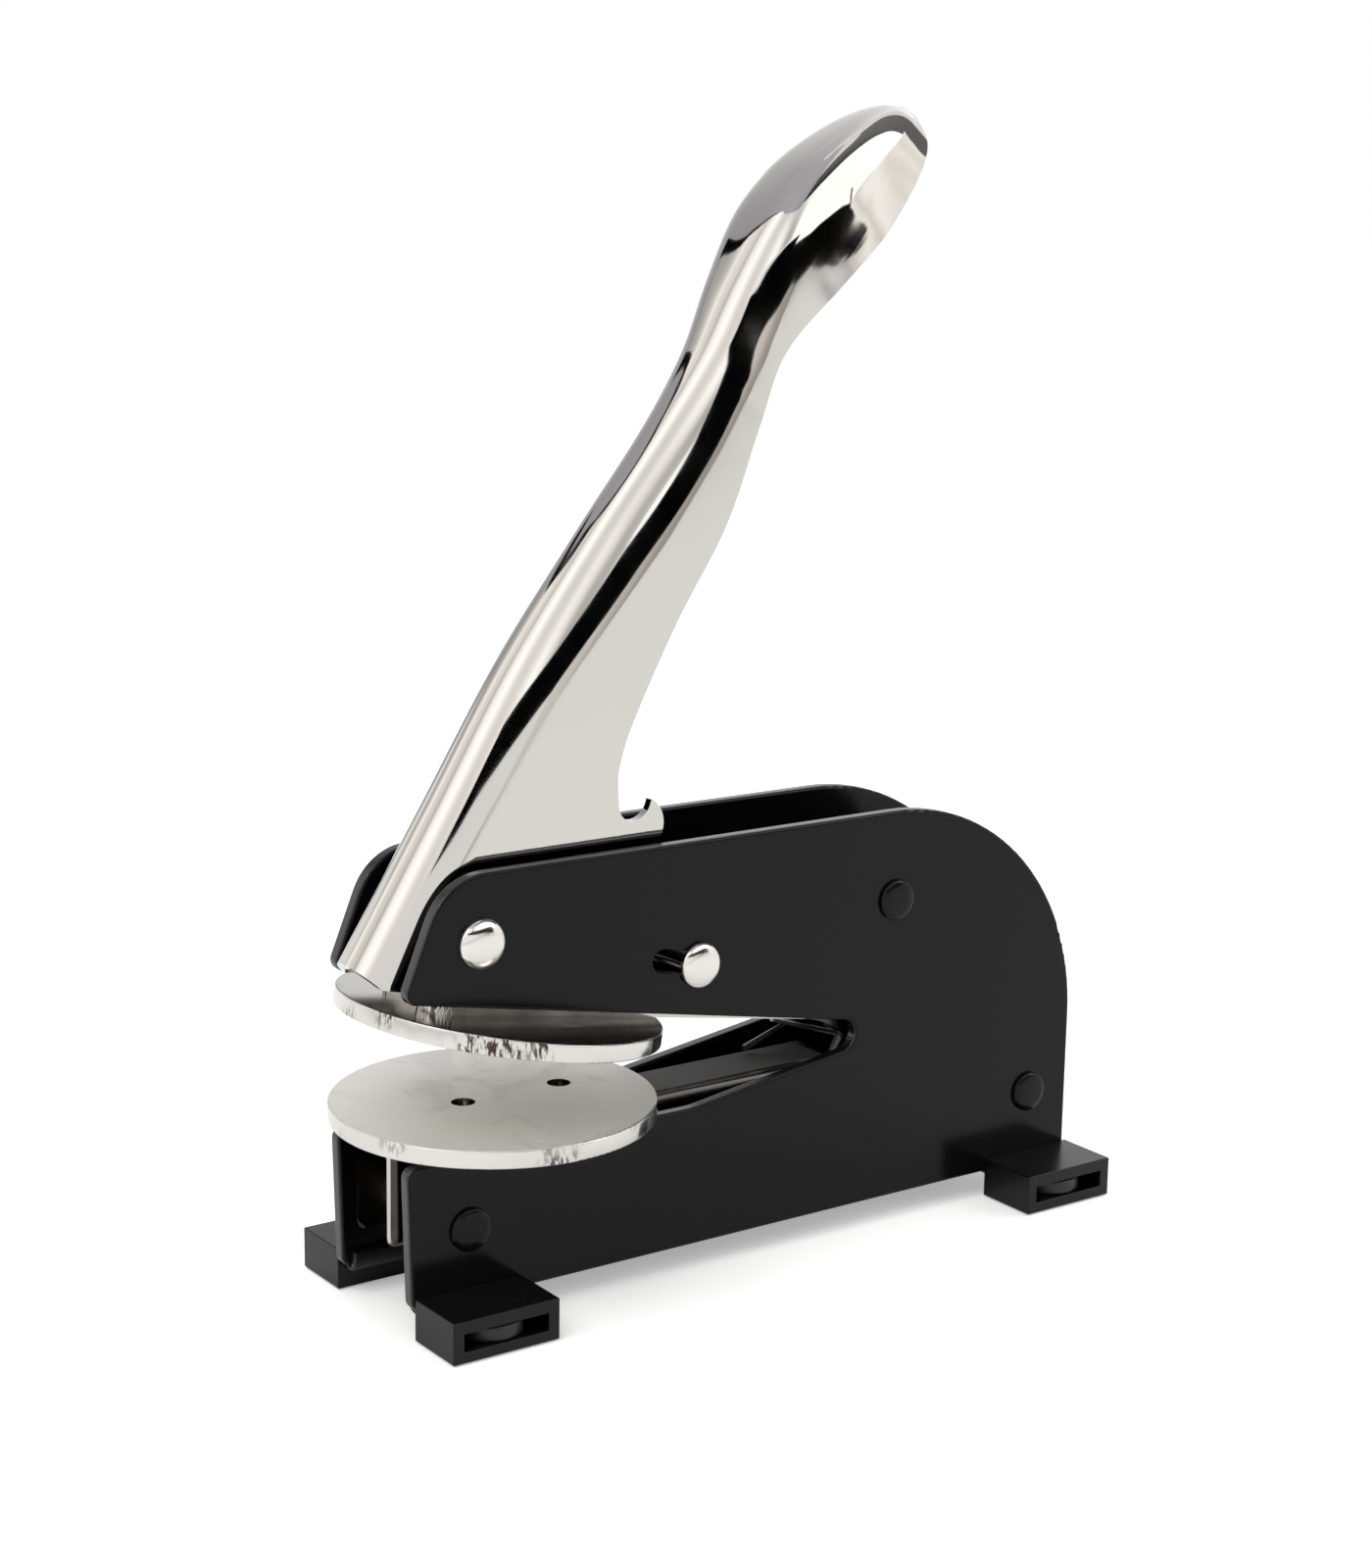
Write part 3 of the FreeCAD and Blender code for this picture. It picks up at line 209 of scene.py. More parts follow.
# the lamps fall off away from the machine, so the paper's lift grows with the distance from it
away = add_node(tree, "ShaderNodeVectorMath", {"operation": "LENGTH"}, {0: place})
lift = add_node(tree, "ShaderNodeMapRange", inputs={
    "Value": away.outputs["Value"], "From Min": NEAR, "From Max": FAR,
    "To Min": LIFT_NEAR, "To Max": LIFT_FAR})
seen = add_node(tree, "ShaderNodeMath", {"operation": "MULTIPLY"}, {
    0: add_node(tree, "ShaderNodeLightPath").outputs["Is Camera Ray"],
    1: lift.outputs["Result"]})
glow = add_node(tree, "ShaderNodeEmission", inputs={
    "Color": linear(WHITE), "Strength": seen.outputs[0]})
paper = tree.nodes["Principled BSDF"].outputs["BSDF"]
surface = paper.links[0].to_socket
both = add_node(tree, "ShaderNodeAddShader", inputs={0: paper, 1: glow.outputs["Emission"]})
tree.links.new(both.outputs["Shader"], surface)

floor_mesh = bpy.data.meshes.new("floor")
floor_mesh.from_pydata([(x * FLOOR_REACH, y * FLOOR_REACH, 0)
                        for x, y in ((-1, -1), (1, -1), (1, 1), (-1, 1))], [], [(0, 1, 2, 3)])
floor_mesh.materials.append(floor_material)
new_object("floor", floor_mesh)
print("floor: %.0f m across" % (2 * FLOOR_REACH))

# %% World
AMBIENT = 0.62
world = bpy.data.worlds.new("white_studio")
bpy.context.scene.world = world
tree = empty_tree(world)
rays = add_node(tree, "ShaderNodeLightPath").outputs
seen = rays["Is Camera Ray"]
for kind in ("Is Glossy Ray", "Is Transmission Ray"):
    seen = add_node(tree, "ShaderNodeMath", {"operation": "MAXIMUM"}, {
        0: seen, 1: rays[kind]}).outputs[0]
ambient, white = [add_node(tree, "ShaderNodeBackground", inputs={
    "Color": linear(WHITE), "Strength": strength}).outputs[0] for strength in (AMBIENT, 1)]
mixed = add_node(tree, "ShaderNodeMixShader", inputs={0: seen, 1: ambient, 2: white})
add_node(tree, "ShaderNodeOutputWorld", inputs={"Surface": mixed.outputs[0]})
print("world: white to look at, %.2f as light" % AMBIENT)

# %% Lamps
LAMPS = [
    # name, place in metres, size in metres, power in watts
    ("key_softbox", (-0.75, -0.35, 1.15), 0.9, 9.0),
    ("fill_softbox", (0.95, -0.75, 0.75), 0.8, 4.0),
    ("back_softbox", (0.2, 1.05, 0.95), 1.0, 6.0),
]
LAMP_AIM = Vector((0, 0, 0.08))
for name, spot, side, power in LAMPS:
    lamp_data = bpy.data.lights.new(name, "AREA")
    lamp_data.size = side
    lamp_data.energy = power
    lamp = new_object(name, lamp_data)
    lamp.matrix_world = Matrix.Translation(spot) @ (
        Vector(spot) - LAMP_AIM).to_track_quat("Z", "Y").to_matrix().to_4x4()
print("lamps:", ", ".join(row[0] for row in LAMPS))

# %% Cards and softbox for the reflections
CARD_CENTRE = Vector((0, 0, 0.12))
CARD_STRENGTH, CARD_STEPS = 1.6, 4
card_material = bpy.data.materials.new("painted_card")
tree = empty_tree(card_material)
paint = add_node(tree, "ShaderNodeVertexColor", {"layer_name": "paint"})
glow = add_node(tree, "ShaderNodeEmission", inputs={"Color": paint.outputs["Color"],
                                                    "Strength": CARD_STRENGTH})
add_node(tree, "ShaderNodeOutputMaterial", inputs={"Surface": glow.outputs["Emission"]})


def hang_card(name, distance, rows, plain=None):
    """A curved card that only mirror rays see, at a distance in metres. Each row gives an azimuth
    from the front towards +X, the elevations of the lower and upper edge, all in degrees, and the
    colours of the two edges, or one for both, unless the card is plain there."""
    card = bmesh.new()
    paint = card.loops.layers.float_color.new("paint")
    ends = []
    for azimuth, low, high, *colours in rows:
        low_tone, high_tone = [linear(colour) for colour in (colours or [plain]) * 2][:2]
        pair = []
        for share in shares(CARD_STEPS):
            turn, rise = radians(azimuth), radians(low + (high - low) * share)
            spot = CARD_CENTRE + distance * Vector((
                sin(turn) * cos(rise), -cos(turn) * cos(rise), sin(rise)))
            tone = [a + (b - a) * share for a, b in zip(low_tone, high_tone)]
            pair.append((card.verts.new(spot), tone))
        ends.append(pair)
    for left, right in zip(ends, ends[1:]):
        for k in range(CARD_STEPS):
            corners = [left[k], right[k], right[k + 1], left[k + 1]]
            face = card.faces.new([vertex for vertex, _ in corners])
            for loop, (_, tone) in zip(face.loops, corners):
                loop[paint] = tone
    mesh = bpy.data.meshes.new(name)
    card.to_mesh(mesh)
    card.free()
    mesh.materials.append(card_material)
    piece = new_object(name, mesh)
    for ray in ("camera", "diffuse", "transmission", "shadow"):
        setattr(piece, "visible_" + ray, False)


hang_card("dark_doorway", 0.76, [
    (-42, 21, 27), (-25, 16, 24), (-15, 12, 22), (-5, 8, 20), (5, 4, 17), (12, 1, 14.5),
    (22, -0.5, 14), (32, -2, 14.5), (39.5, -2.5, 14.8), (44.5, 5, 15)], BLACK)
# a pale ledge hangs close by: from the grip it covers the top of the doorway, from below it lies
# in front of the white window
hang_card("window_ledge", 0.36, [
    (8, 17.5, 18), (16, 15, 24), (24, 13, 24), (34, 12.3, 23), (44, 12.5, 22)], WHITE)
hang_card("side_wall", 1.0, [
    (41, -14, 7, "#A5A19C", "#C4C0BB"), (44, -14, 8.5, "#CFCCC7", "#F4F2EF"),
    (48, -14, 11.5, "#B4B0AB", "#D0CDC8"), (51, -14, 14, "#D8D5D0", "#F0EEEC"),
    (55, -14, 17, "#BDB9B4", "#DAD7D3"), (60, -14, 20.5, "#D6D3CE", "#E6E4E0"),
    (66, -14, 24, "#C4C1BC", "#DAD7D3"), (74, -14, 28, "#D8D5D1", "#E4E2DF")])
hang_card("low_wall", 0.74, [
    (8, -5.5, 3, "#C4C1BE"), (18, -5.5, 1.2, "#BCB9B5"), (26, -5.5, 0, "#989490"),
    (31, -5.5, -2, "#8A8681")])
hang_card("streaked_softbox", 1.16, [
    (-166, 14, 26, "#8E8E90", "#9A9A9A"), (-156, 14, 31, "#9A9896", "#A6A4A2"),
    (-148, 14, 35, "#B8B5B2", "#C6C3C0"), (-141, 15, 39, "#F2F0EE", "#E4E2DF"),
    (-131, 16, 44, "#D2CFCC", "#DCD9D6"), (-121, 17, 48, "#C4C0BC", "#D8D5D2"),
    (-112, 18, 51, "#ABA8A5", "#C0BCB9"), (-102, 18, 54, "#F4F2F0", "#E0DDDA"),
    (-91, 18, 56, "#FFFFFF", "#F0EEEC"), (-80, 18, 57, "#FCFAF8", "#FFFFFF"),
    (-70, 18, 57, "#E0DDDA", "#F0EEEC"), (-60, 20, 54, "#CFCCC9", "#D8D5D2"),
    (-50, 24, 52, "#D8D5D2", "#C8C5C2"), (-41, 27, 50, "#E8E6E4", "#CCCAC8"),
    (-32, 26, 48, "#FFFFFF", "#D8D6D4"), (-25, 24, 46, "#F4F3F2", "#CCCAC8"),
    (-20, 23, 45, "#D8D6D4", "#C4C2C0"), (-15, 22, 44, "#A8A6A4", "#C4C2C0"),
    (-10, 21, 43, "#A4A2A0", "#C8C6C4"), (-5, 20, 42, "#BDBBB8", "#D0CECC")])
hang_card("softbox_frame", 1.12, [
    (-172, 22, 24.5), (-158, 29.5, 31.5), (-148, 34.5, 36.5), (-128, 44.5, 46.3),
    (-110, 51.5, 53), (-90, 56, 56.8)], BLACK)
hang_card("window", 1.4, [
    (-9, 19, 47, "#D8D8D8", "#D0D0D0"), (0, 17, 52), (20, 10, 54), (45, 8, 54), (53, 14, 52),
    (61, 22, 49), (67, 32, 45)], WHITE)
hang_card("window_frame", 1.3, [
    (-14, 46, 60, "#1A1A1C", "#58585A"), (4, 48, 67, "#161618", "#68686A"),
    (22, 51, 70, "#303032", "#707072"), (42, 51, 71, "#505052", "#6A6A6C"),
    (60, 42, 73, "#5C5C5E", "#6A6A6C"), (72, 20, 74, "#585858", "#6A6A6C"),
    (100, 18, 62, "#5A5A5A", "#6A6A6C")])
hang_card("grey_wall", 1.24, [
    (116, 10, 60, "#F0F0F0", "#DCDCDE"), (146, -5, 60, "#D6D6D6", "#BCBCBF"),
    (165, -5, 60, "#A8A8AA", "#B0B0B3"), (180, -5, 60, "#8E8E90", "#A4A4A8"),
    (188, 10, 60, "#8A8A8E", "#9E9EA2"), (198, 20, 60, "#8A8A8E", "#9A9A9F"),
    (212, 30, 60, "#8C8C90", "#98989D"), (232, 40, 62, "#909094", "#98989D"),
    (250, 46, 64, "#94949A", "#9A9AA0"), (270, 50, 66, "#96969C", "#9A9AA0"),
    (300, 48, 66, "#9A9AA0"), (322, 43, 66, "#A0A0A4", "#9A9AA0"),
    (346, 40, 66, "#8A8A8E", "#9A9AA0")])
hang_card("grey_ceiling", 1.26, [
    (116, 60, 87, "#DCDCDE", "#B8B8BC"), (150, 60, 87, "#B8B8BB", "#A8A8AC"),
    (180, 60, 87, "#A4A4A8", "#A8A8AC"), (220, 56, 87, "#98989D", "#A0A0A4"),
    (260, 57, 87, "#9A9AA0", "#A0A0A4"), (300, 58, 87, "#9A9AA0", "#A0A0A4"),
    (330, 57, 87, "#9A9AA0", "#A0A0A4"), (346, 60, 87, "#9A9AA0", "#A0A0A4"),
    (360, 69.5, 87, "#9A9AA0", "#A4A4A8"), (376, 74.5, 87, "#9A9AA0", "#A4A4A8"),
    (396, 78.5, 87, "#A4A4A8"), (430, 81, 87, "#A8A8AC", "#A4A4A8")])

# %% [markdown]
# ## Bright nickel
#
# The lever, the arm and the pins are steel that was polished and then plated with bright nickel.
# Nickel is a slightly warm mirror. A pressed sheet is never quite flat, so its reflections wander a
# little: broad, very shallow waves in the bump do that. Fine polishing haze changes the roughness.

# %% Bright nickel
HAZE_MM, HAZE_RANGE, HAZE_LEAST, HAZE_MOST = 7, (0.3, 0.75), 0.8, 1.7
BELT_MM, BELT_DEPTH, BELT_STRETCH = 3.4, 0.014, 0.05
FOLD_MM, FOLD_DEPTH, FOLD_ONSET, FOLD_FADE = 17, 0.42, 12, 4


def bright_nickel(name, colour, roughness, wave_mm, wave_depth):
    """A polished and plated finish. Returns what start_material does, and its relief."""
    material, tree, shader, place = start_material(name, {
        "Metallic": 1, "Base Color": linear(colour)})
    haze = add_node(tree, "ShaderNodeTexNoise", inputs={
        "Vector": place, "Scale": per_metre(HAZE_MM), "Detail": 4, "Roughness": 0.6})
    blur = add_node(tree, "ShaderNodeMapRange", inputs={
        "Value": haze.outputs["Fac"], "From Min": HAZE_RANGE[0], "From Max": HAZE_RANGE[1],
        "To Min": roughness * HAZE_LEAST, "To Max": roughness * HAZE_MOST})
    tree.links.new(blur.outputs["Result"], shader["Roughness"])
    waves = add_node(tree, "ShaderNodeTexNoise", inputs={
        "Vector": place, "Scale": per_metre(wave_mm), "Detail": 1, "Roughness": 0.3})
    relief = add_node(tree, "ShaderNodeBump", inputs={
        "Height": waves.outputs["Fac"], "Strength": 1, "Distance": wave_depth * MM})
    tree.links.new(relief.outputs["Normal"], shader["Normal"])
    return material, tree, shader, place, relief


def lever_finish():
    """Bright nickel over a sheet that was drawn in a die and belt-polished along its length."""
    material, tree, shader, place, relief = bright_nickel(
        "mirror_nickel_on_pressed_steel", "#D3D0CB", 0.04, 30, 0.06)
    # turned so that X runs along the lever and Z away from its back
    turned = add_node(tree, "ShaderNodeMapping", inputs={
        "Vector": place, "Rotation": (0, LEVER_LEAN, 0)}).outputs["Vector"]
    drawn = add_node(tree, "ShaderNodeMapping", inputs={
        "Vector": turned, "Scale": (BELT_STRETCH, 1, 1)}).outputs["Vector"]
    belt = add_node(tree, "ShaderNodeTexNoise", inputs={
        "Vector": drawn, "Scale": per_metre(BELT_MM), "Roughness": 0.45, "Distortion": 0.3})
    relief = add_node(tree, "ShaderNodeBump", inputs={
        "Height": belt.outputs["Fac"], "Strength": 1, "Distance": BELT_DEPTH * MM,
        "Normal": relief.outputs["Normal"]})
    # wrinkles where the flanges of the grip were drawn round it
    apart = add_node(tree, "ShaderNodeSeparateXYZ", inputs={"Vector": turned}).outputs
    up_there = add_node(tree, "ShaderNodeMapRange", inputs={
        "Value": apart["X"], "From Min": GRIP_START, "From Max": GRIP_START + FOLD_ONSET * MM})
    behind = add_node(tree, "ShaderNodeMapRange", inputs={
        "Value": apart["Z"], "From Min": GRIP_CREASE, "From Max": GRIP_CREASE - FOLD_FADE * MM})
    there = add_node(tree, "ShaderNodeMath", {"operation": "MULTIPLY"}, {
        0: up_there.outputs["Result"], 1: behind.outputs["Result"]})
    folds = add_node(tree, "ShaderNodeTexNoise", inputs={
        "Vector": turned, "Scale": per_metre(FOLD_MM), "Detail": 1, "Roughness": 0.4,
        "Distortion": 0.8})
    relief = add_node(tree, "ShaderNodeBump", inputs={
        "Height": folds.outputs["Fac"], "Strength": there.outputs[0],
        "Distance": FOLD_DEPTH * MM, "Normal": relief.outputs["Normal"]})
    tree.links.new(relief.outputs["Normal"], shader["Normal"])
    return material


LEVER_LEAN = radians(50.0)
LEVER_START = Vector((-16.0, 0.0, -4.7))
GRIP_ALONG, CREASE_DEPTH = 108, -7
lever_root = pivot + LEVER_START * MM
# where the grip and its crease are in coordinates that lean as the lever does
GRIP_START = lever_root.x * cos(LEVER_LEAN) + lever_root.z * sin(LEVER_LEAN) + GRIP_ALONG * MM
GRIP_CREASE = lever_root.z * cos(LEVER_LEAN) - lever_root.x * sin(LEVER_LEAN) - CREASE_DEPTH * MM
lever_nickel = lever_finish()
pin_nickel = bright_nickel("bright_nickel_on_turned_pins", "#E6E3DE", 0.11, 4, 0.01)[0]
sheet_nickel = bright_nickel("bright_nickel_on_folded_sheet", "#CBC7C1", 0.14, 14, 0.01)[0]

# %% [markdown]
# ## Satin nickel
#
# The two round plates were blanked from sheet, tumbled and plated. Their faces are a soft, even
# grey with faint smudges, and the sheared rim is brighter, with short upright marks from the punch.

# %% Satin nickel
SMUDGE_TONES, SMUDGE_BLUR, BLUR_MOST, BLUR_LEAST = (0.30, 0.44), (0.35, 0.7), 1.1, 0.9
PIT_MM, PIT_DEPTH, PIT_STRENGTH, RIM_BLUR = 0.5, 0.004, 0.4, (0.13, 0.26)
MARK_MM, MARK_DEPTH, MARK_STRETCH, PATCH_MM = 0.7, 0.08, 0.3, 11
TORN_FROM, TORN_TO, WORN, PITTED = 24, 27, (0.56, 0.66), (0.46, 0.56)


def satin_nickel(name, dull, bright, roughness, smudge_mm):
    """A tumbled and plated face with smudges of that size between a dull and a bright grey."""
    material, tree, shader, place = start_material(name, {"Metallic": 1})
    smudge = add_node(tree, "ShaderNodeTexNoise", inputs={
        "Vector": place, "Scale": per_metre(smudge_mm), "Detail": 4, "Roughness": 0.6,
        "Distortion": 0.8}).outputs["Fac"]
    tone = add_node(tree, "ShaderNodeValToRGB", inputs={"Fac": smudge})
    for element, position, colour in zip(tone.color_ramp.elements, SMUDGE_TONES, (dull, bright)):
        element.position = position
        element.color = linear(colour)
    tree.links.new(tone.outputs["Color"], shader["Base Color"])
    blur = add_node(tree, "ShaderNodeMapRange", inputs={
        "Value": smudge, "From Min": SMUDGE_BLUR[0], "From Max": SMUDGE_BLUR[1],
        "To Min": roughness * BLUR_MOST, "To Max": roughness * BLUR_LEAST})
    tree.links.new(blur.outputs["Result"], shader["Roughness"])
    pits = add_node(tree, "ShaderNodeTexNoise", inputs={
        "Vector": place, "Scale": per_metre(PIT_MM), "Detail": 3})
    relief = add_node(tree, "ShaderNodeBump", inputs={
        "Height": pits.outputs["Fac"], "Strength": PIT_STRENGTH, "Distance": PIT_DEPTH * MM})
    tree.links.new(relief.outputs["Normal"], shader["Normal"])
    return material


def sheared_rim(name, torn_side, torn):
    """A punched rim that tore most on the side at that azimuth, from the front towards +X."""
    material, tree, shader, place = start_material(name, {"Metallic": 1})
    # torn marks, drawn out through the thickness, come only in patches round the rim
    stretch = add_node(tree, "ShaderNodeMapping", inputs={
        "Vector": place, "Scale": (1, 1, MARK_STRETCH)})
    marks = add_node(tree, "ShaderNodeTexNoise", inputs={
        "Vector": stretch.outputs["Vector"], "Scale": per_metre(MARK_MM), "Detail": 4,
        "Roughness": 0.6}).outputs["Fac"]
    turn = radians(torn_side)
    offset = add_node(tree, "ShaderNodeVectorMath", {"operation": "SUBTRACT"}, {
        0: place, 1: middle("lower_die_plate")})
    facing = add_node(tree, "ShaderNodeVectorMath", {"operation": "DOT_PRODUCT"}, {
        0: offset.outputs["Vector"], 1: (sin(turn), -cos(turn), 0)})
    near = add_node(tree, "ShaderNodeMapRange", inputs={
        "Value": facing.outputs["Value"], "From Min": TORN_FROM * MM, "From Max": TORN_TO * MM,
        "To Max": torn})
    patches = add_node(tree, "ShaderNodeTexNoise", inputs={
        "Vector": place, "Scale": per_metre(PATCH_MM)})
    both = add_node(tree, "ShaderNodeMath", {"operation": "ADD"}, {
        0: patches.outputs["Fac"], 1: near.outputs["Result"]})
    worn = add_node(tree, "ShaderNodeMapRange", inputs={
        "Value": both.outputs[0], "From Min": WORN[0], "From Max": WORN[1]}).outputs["Result"]
    # the torn places hold a brownish stain between the bright ridges
    pitted = add_node(tree, "ShaderNodeMapRange", inputs={
        "Value": marks, "From Min": PITTED[0], "From Max": PITTED[1]})
    stained = add_node(tree, "ShaderNodeMath", {"operation": "MULTIPLY"}, {
        0: worn, 1: pitted.outputs["Result"]})
    tone = add_node(tree, "ShaderNodeMix", {"data_type": "RGBA"}, {
        "Factor": stained.outputs[0], "A": linear("#DEDBD6"), "B": linear("#4A3F37")})
    tree.links.new(tone.outputs["Result"], shader["Base Color"])
    blur = add_node(tree, "ShaderNodeMapRange", inputs={
        "Value": worn, "To Min": RIM_BLUR[0], "To Max": RIM_BLUR[1]})
    tree.links.new(blur.outputs["Result"], shader["Roughness"])
    relief = add_node(tree, "ShaderNodeBump", inputs={
        "Height": marks, "Strength": worn, "Distance": MARK_DEPTH * MM})
    tree.links.new(relief.outputs["Normal"], shader["Normal"])
    return material


die_face = satin_nickel("satin_nickel_on_blanked_steel", "#CECCC7", "#E0DED9", 0.56, 16)
# painted shade: the upper plate's back is a darker grey than its face, besides being smoother
die_back_with_painted_shade = satin_nickel("rubbed_nickel_with_painted_shade_on_plate_back", "#938F8A", "#B0ACA6", 0.16, 9)
lower_rim = sheared_rim("nickel_on_lower_rim", 24, 0.045)
upper_rim = sheared_rim("nickel_on_upper_rim", -46, 0.17)
# painted shade: a dark nickel for the channel's and the arm's faces deep in the throat
throat_painted_shade = satin_nickel("painted_shade_on_nickel_in_the_throat", "#3C3A38", "#4A4846", 0.22, 8)

# %% [markdown]
# ## Black enamel, moulded plastic, rubber and spring wire
#
# The side plates are sprayed with a black stove enamel: nearly smooth, with a faint orange peel.
# The feet are ABS with the fine even grain of a spark-eroded mould. The pads are dull rubber. The
# spring is plain drawn wire with scale marks on it.

# %% Black finishes
DRIFT_MM, GRAIN_STRENGTH, SCALE_MM = 35, 0.6, 0.8


def black_finish(name, colour, shade, roughness, grain_mm, grain_depth, gloss):
    """A black surface whose colour drifts a little towards shade, with a grain of that size."""
    material, tree, shader, place = start_material(name, {
        "Roughness": roughness, "Specular IOR Level": gloss})
    drift = add_node(tree, "ShaderNodeTexNoise", inputs={
        "Vector": place, "Scale": per_metre(DRIFT_MM), "Detail": 3})
    tone = add_node(tree, "ShaderNodeMix", {"data_type": "RGBA"}, {
        "Factor": drift.outputs["Fac"], "A": linear(colour), "B": linear(shade)})
    tree.links.new(tone.outputs["Result"], shader["Base Color"])
    grain = add_node(tree, "ShaderNodeTexNoise", inputs={
        "Vector": place, "Scale": per_metre(grain_mm)})
    relief = add_node(tree, "ShaderNodeBump", inputs={
        "Height": grain.outputs["Fac"], "Strength": GRAIN_STRENGTH, "Distance": grain_depth * MM})
    tree.links.new(relief.outputs["Normal"], shader["Normal"])
    return material


enamel = black_finish("black_stove_enamel", "#050505", "#090909", 0.17, 1.6, 0.003, 0.20)
edge_enamel = black_finish("black_enamel_on_cut_edges", "#0A0A0A", "#101010", 0.22, 1.0, 0.004,
                           0.75)
# painted shade: a dull dark grey in place of nickel on the channel's web, under the arm
web_painted_shade = black_finish("painted_shade_grey_on_the_web", "#565656", "#666666", 0.6, 0.8, 0.004,
                          0.04)
abs_black = black_finish("moulded_black_abs", "#070707", "#0B0B0B", 0.27, 0.5, 0.008, 0.3)
rubber = black_finish("moulded_black_rubber", "#161616", "#1C1C1C", 0.42, 0.35, 0.01, 0.5)

wire_steel, tree, shader, place = start_material("drawn_spring_wire", {
    "Metallic": 1, "Roughness": 0.28})
scale = add_node(tree, "ShaderNodeTexNoise", inputs={
    "Vector": place, "Scale": per_metre(SCALE_MM), "Detail": 4})
tone = add_node(tree, "ShaderNodeMix", {"data_type": "RGBA"}, {
    "Factor": scale.outputs["Fac"], "A": linear("#77777A"), "B": linear("#A6A5A3")})
tree.links.new(tone.outputs["Result"], shader["Base Color"])

# %% [markdown]
# ## Smooth copies of the flat parts
#
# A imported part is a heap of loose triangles, which shades as facets. A copy with merged corners can
# be shaded smooth, but sharp where two faces meet at more than a set angle. Weighted normals then
# keep the big flat faces flat right up to their rounded edges.

# %% Copy helpers
SHARP, MOULDED_SHARP, MOULD_BEVEL = radians(32), radians(50), radians(45)
SAME_SPOT, SAME_FACE = 0.002 * MM, radians(1.0)


def body_of(node):
    return frame["nodes"][node]["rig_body"]


def stand_in(piece, *nodes):
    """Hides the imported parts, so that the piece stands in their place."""
    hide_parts(*nodes)


def ride_and_replace(piece, *nodes):
    """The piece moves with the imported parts' body and stands in their place."""
    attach(piece, body_of(nodes[0]))
    stand_in(piece, *nodes)


def write_back(work, mesh):
    """Writes the worked shape to the mesh, its faces turned outward."""
    bmesh.ops.recalc_face_normals(work, faces=work.faces)
    work.to_mesh(mesh)
    work.free()
    return mesh


def settle(piece, modifiers=()):
    """Applies the modifiers (kind and settings) and leaves a plain mesh."""
    for kind, settings in modifiers:
        modifier = piece.modifiers.new(kind.lower(), kind)
        for name, value in settings.items():
            setattr(modifier, name, value)
    graph = bpy.context.evaluated_depsgraph_get()
    mesh = bpy.data.meshes.new_from_object(piece.evaluated_get(graph), depsgraph=graph)
    piece.modifiers.clear()
    piece.data = mesh


def shade(mesh, sharp=SHARP):
    mesh.shade_smooth()
    mesh.set_sharp_from_angle(angle=sharp)


def merged_copy(node, material, ending):
    """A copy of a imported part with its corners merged."""
    copy = bmesh.new()
    copy.from_mesh(frame["nodes"][node].data)
    bmesh.ops.remove_doubles(copy, verts=copy.verts, dist=SAME_SPOT)
    mesh = write_back(copy, bpy.data.meshes.new(node + ending))
    mesh.materials.clear()
    mesh.materials.append(material)
    return new_object(node + ending, mesh)


def finish_copy(piece, node, sharp=SHARP):
    shade(piece.data, sharp)
    settle(piece, [("WEIGHTED_NORMAL", {"keep_sharp": True})])
    ride_and_replace(piece, node)
    return piece


def smooth_copy(node, material):
    return finish_copy(merged_copy(node, material, "_smooth"), node)


def moulded_copy(node, material, edge_mm):
    """A copy with whole flat faces, whose sharp edges get a small round."""
    piece = merged_copy(node, material, "_moulded")
    whole = bmesh.new()
    whole.from_mesh(piece.data)
    bmesh.ops.dissolve_limit(whole, angle_limit=SAME_FACE, verts=whole.verts, edges=whole.edges)
    whole.to_mesh(piece.data)
    whole.free()
    settle(piece, [("BEVEL", {"width": edge_mm * MM, "segments": 2, "limit_method": "ANGLE",
                              "angle_limit": MOULD_BEVEL}), ("TRIANGULATE", {})])
    return finish_copy(piece, node, MOULDED_SHARP)


def sort_faces(piece, other, belongs):
    """Gives the faces that the rule picks the other finish."""
    piece.data.materials.append(other)
    picked = [face for face in piece.data.polygons if belongs(face)]
    for face in picked:
        face.material_index = len(piece.data.materials) - 1
    print(piece.name + ":", len(picked), "faces are", other.name)

# %% Side plates, arm and channel
# a face points a way when its normal has at least this share along it
SIDEWAYS, DOWN, UP, AXIAL = 0.6, 0.5, 0.95, 0.8
# the channel and the arm get painted shade from here on, in millimetres
CHANNEL_SHADE_FROM, ARM_SHADE_FROM = 12, 5
plates = [smooth_copy(node, enamel) for node in ("left_side_plate", "right_side_plate")]
arm = smooth_copy("press_arm", sheet_nickel)
# painted shade darkens the channel's sides, underside and back part; only its ends and folds shine
channel = smooth_copy("anvil_channel", sheet_nickel)
sort_faces(channel, throat_painted_shade, lambda face: abs(face.normal.y) > SIDEWAYS
           or face.normal.z < -DOWN or face.center.x > CHANNEL_SHADE_FROM * MM)
# painted shade on the web's upward faces
sort_faces(channel, web_painted_shade, lambda face: face.normal.z > UP)
# painted shade on the arm's sides and underside past that point
sort_faces(arm, throat_painted_shade, lambda face: face.center.x > ARM_SHADE_FROM * MM
           and (abs(face.normal.y) > SIDEWAYS or face.normal.z < -SIDEWAYS))
# the enamel gathers on the cut edges of the plates, which shine more than their faces
for plate in plates:
    sort_faces(plate, edge_enamel, lambda face: abs(face.normal.y) < SIDEWAYS)
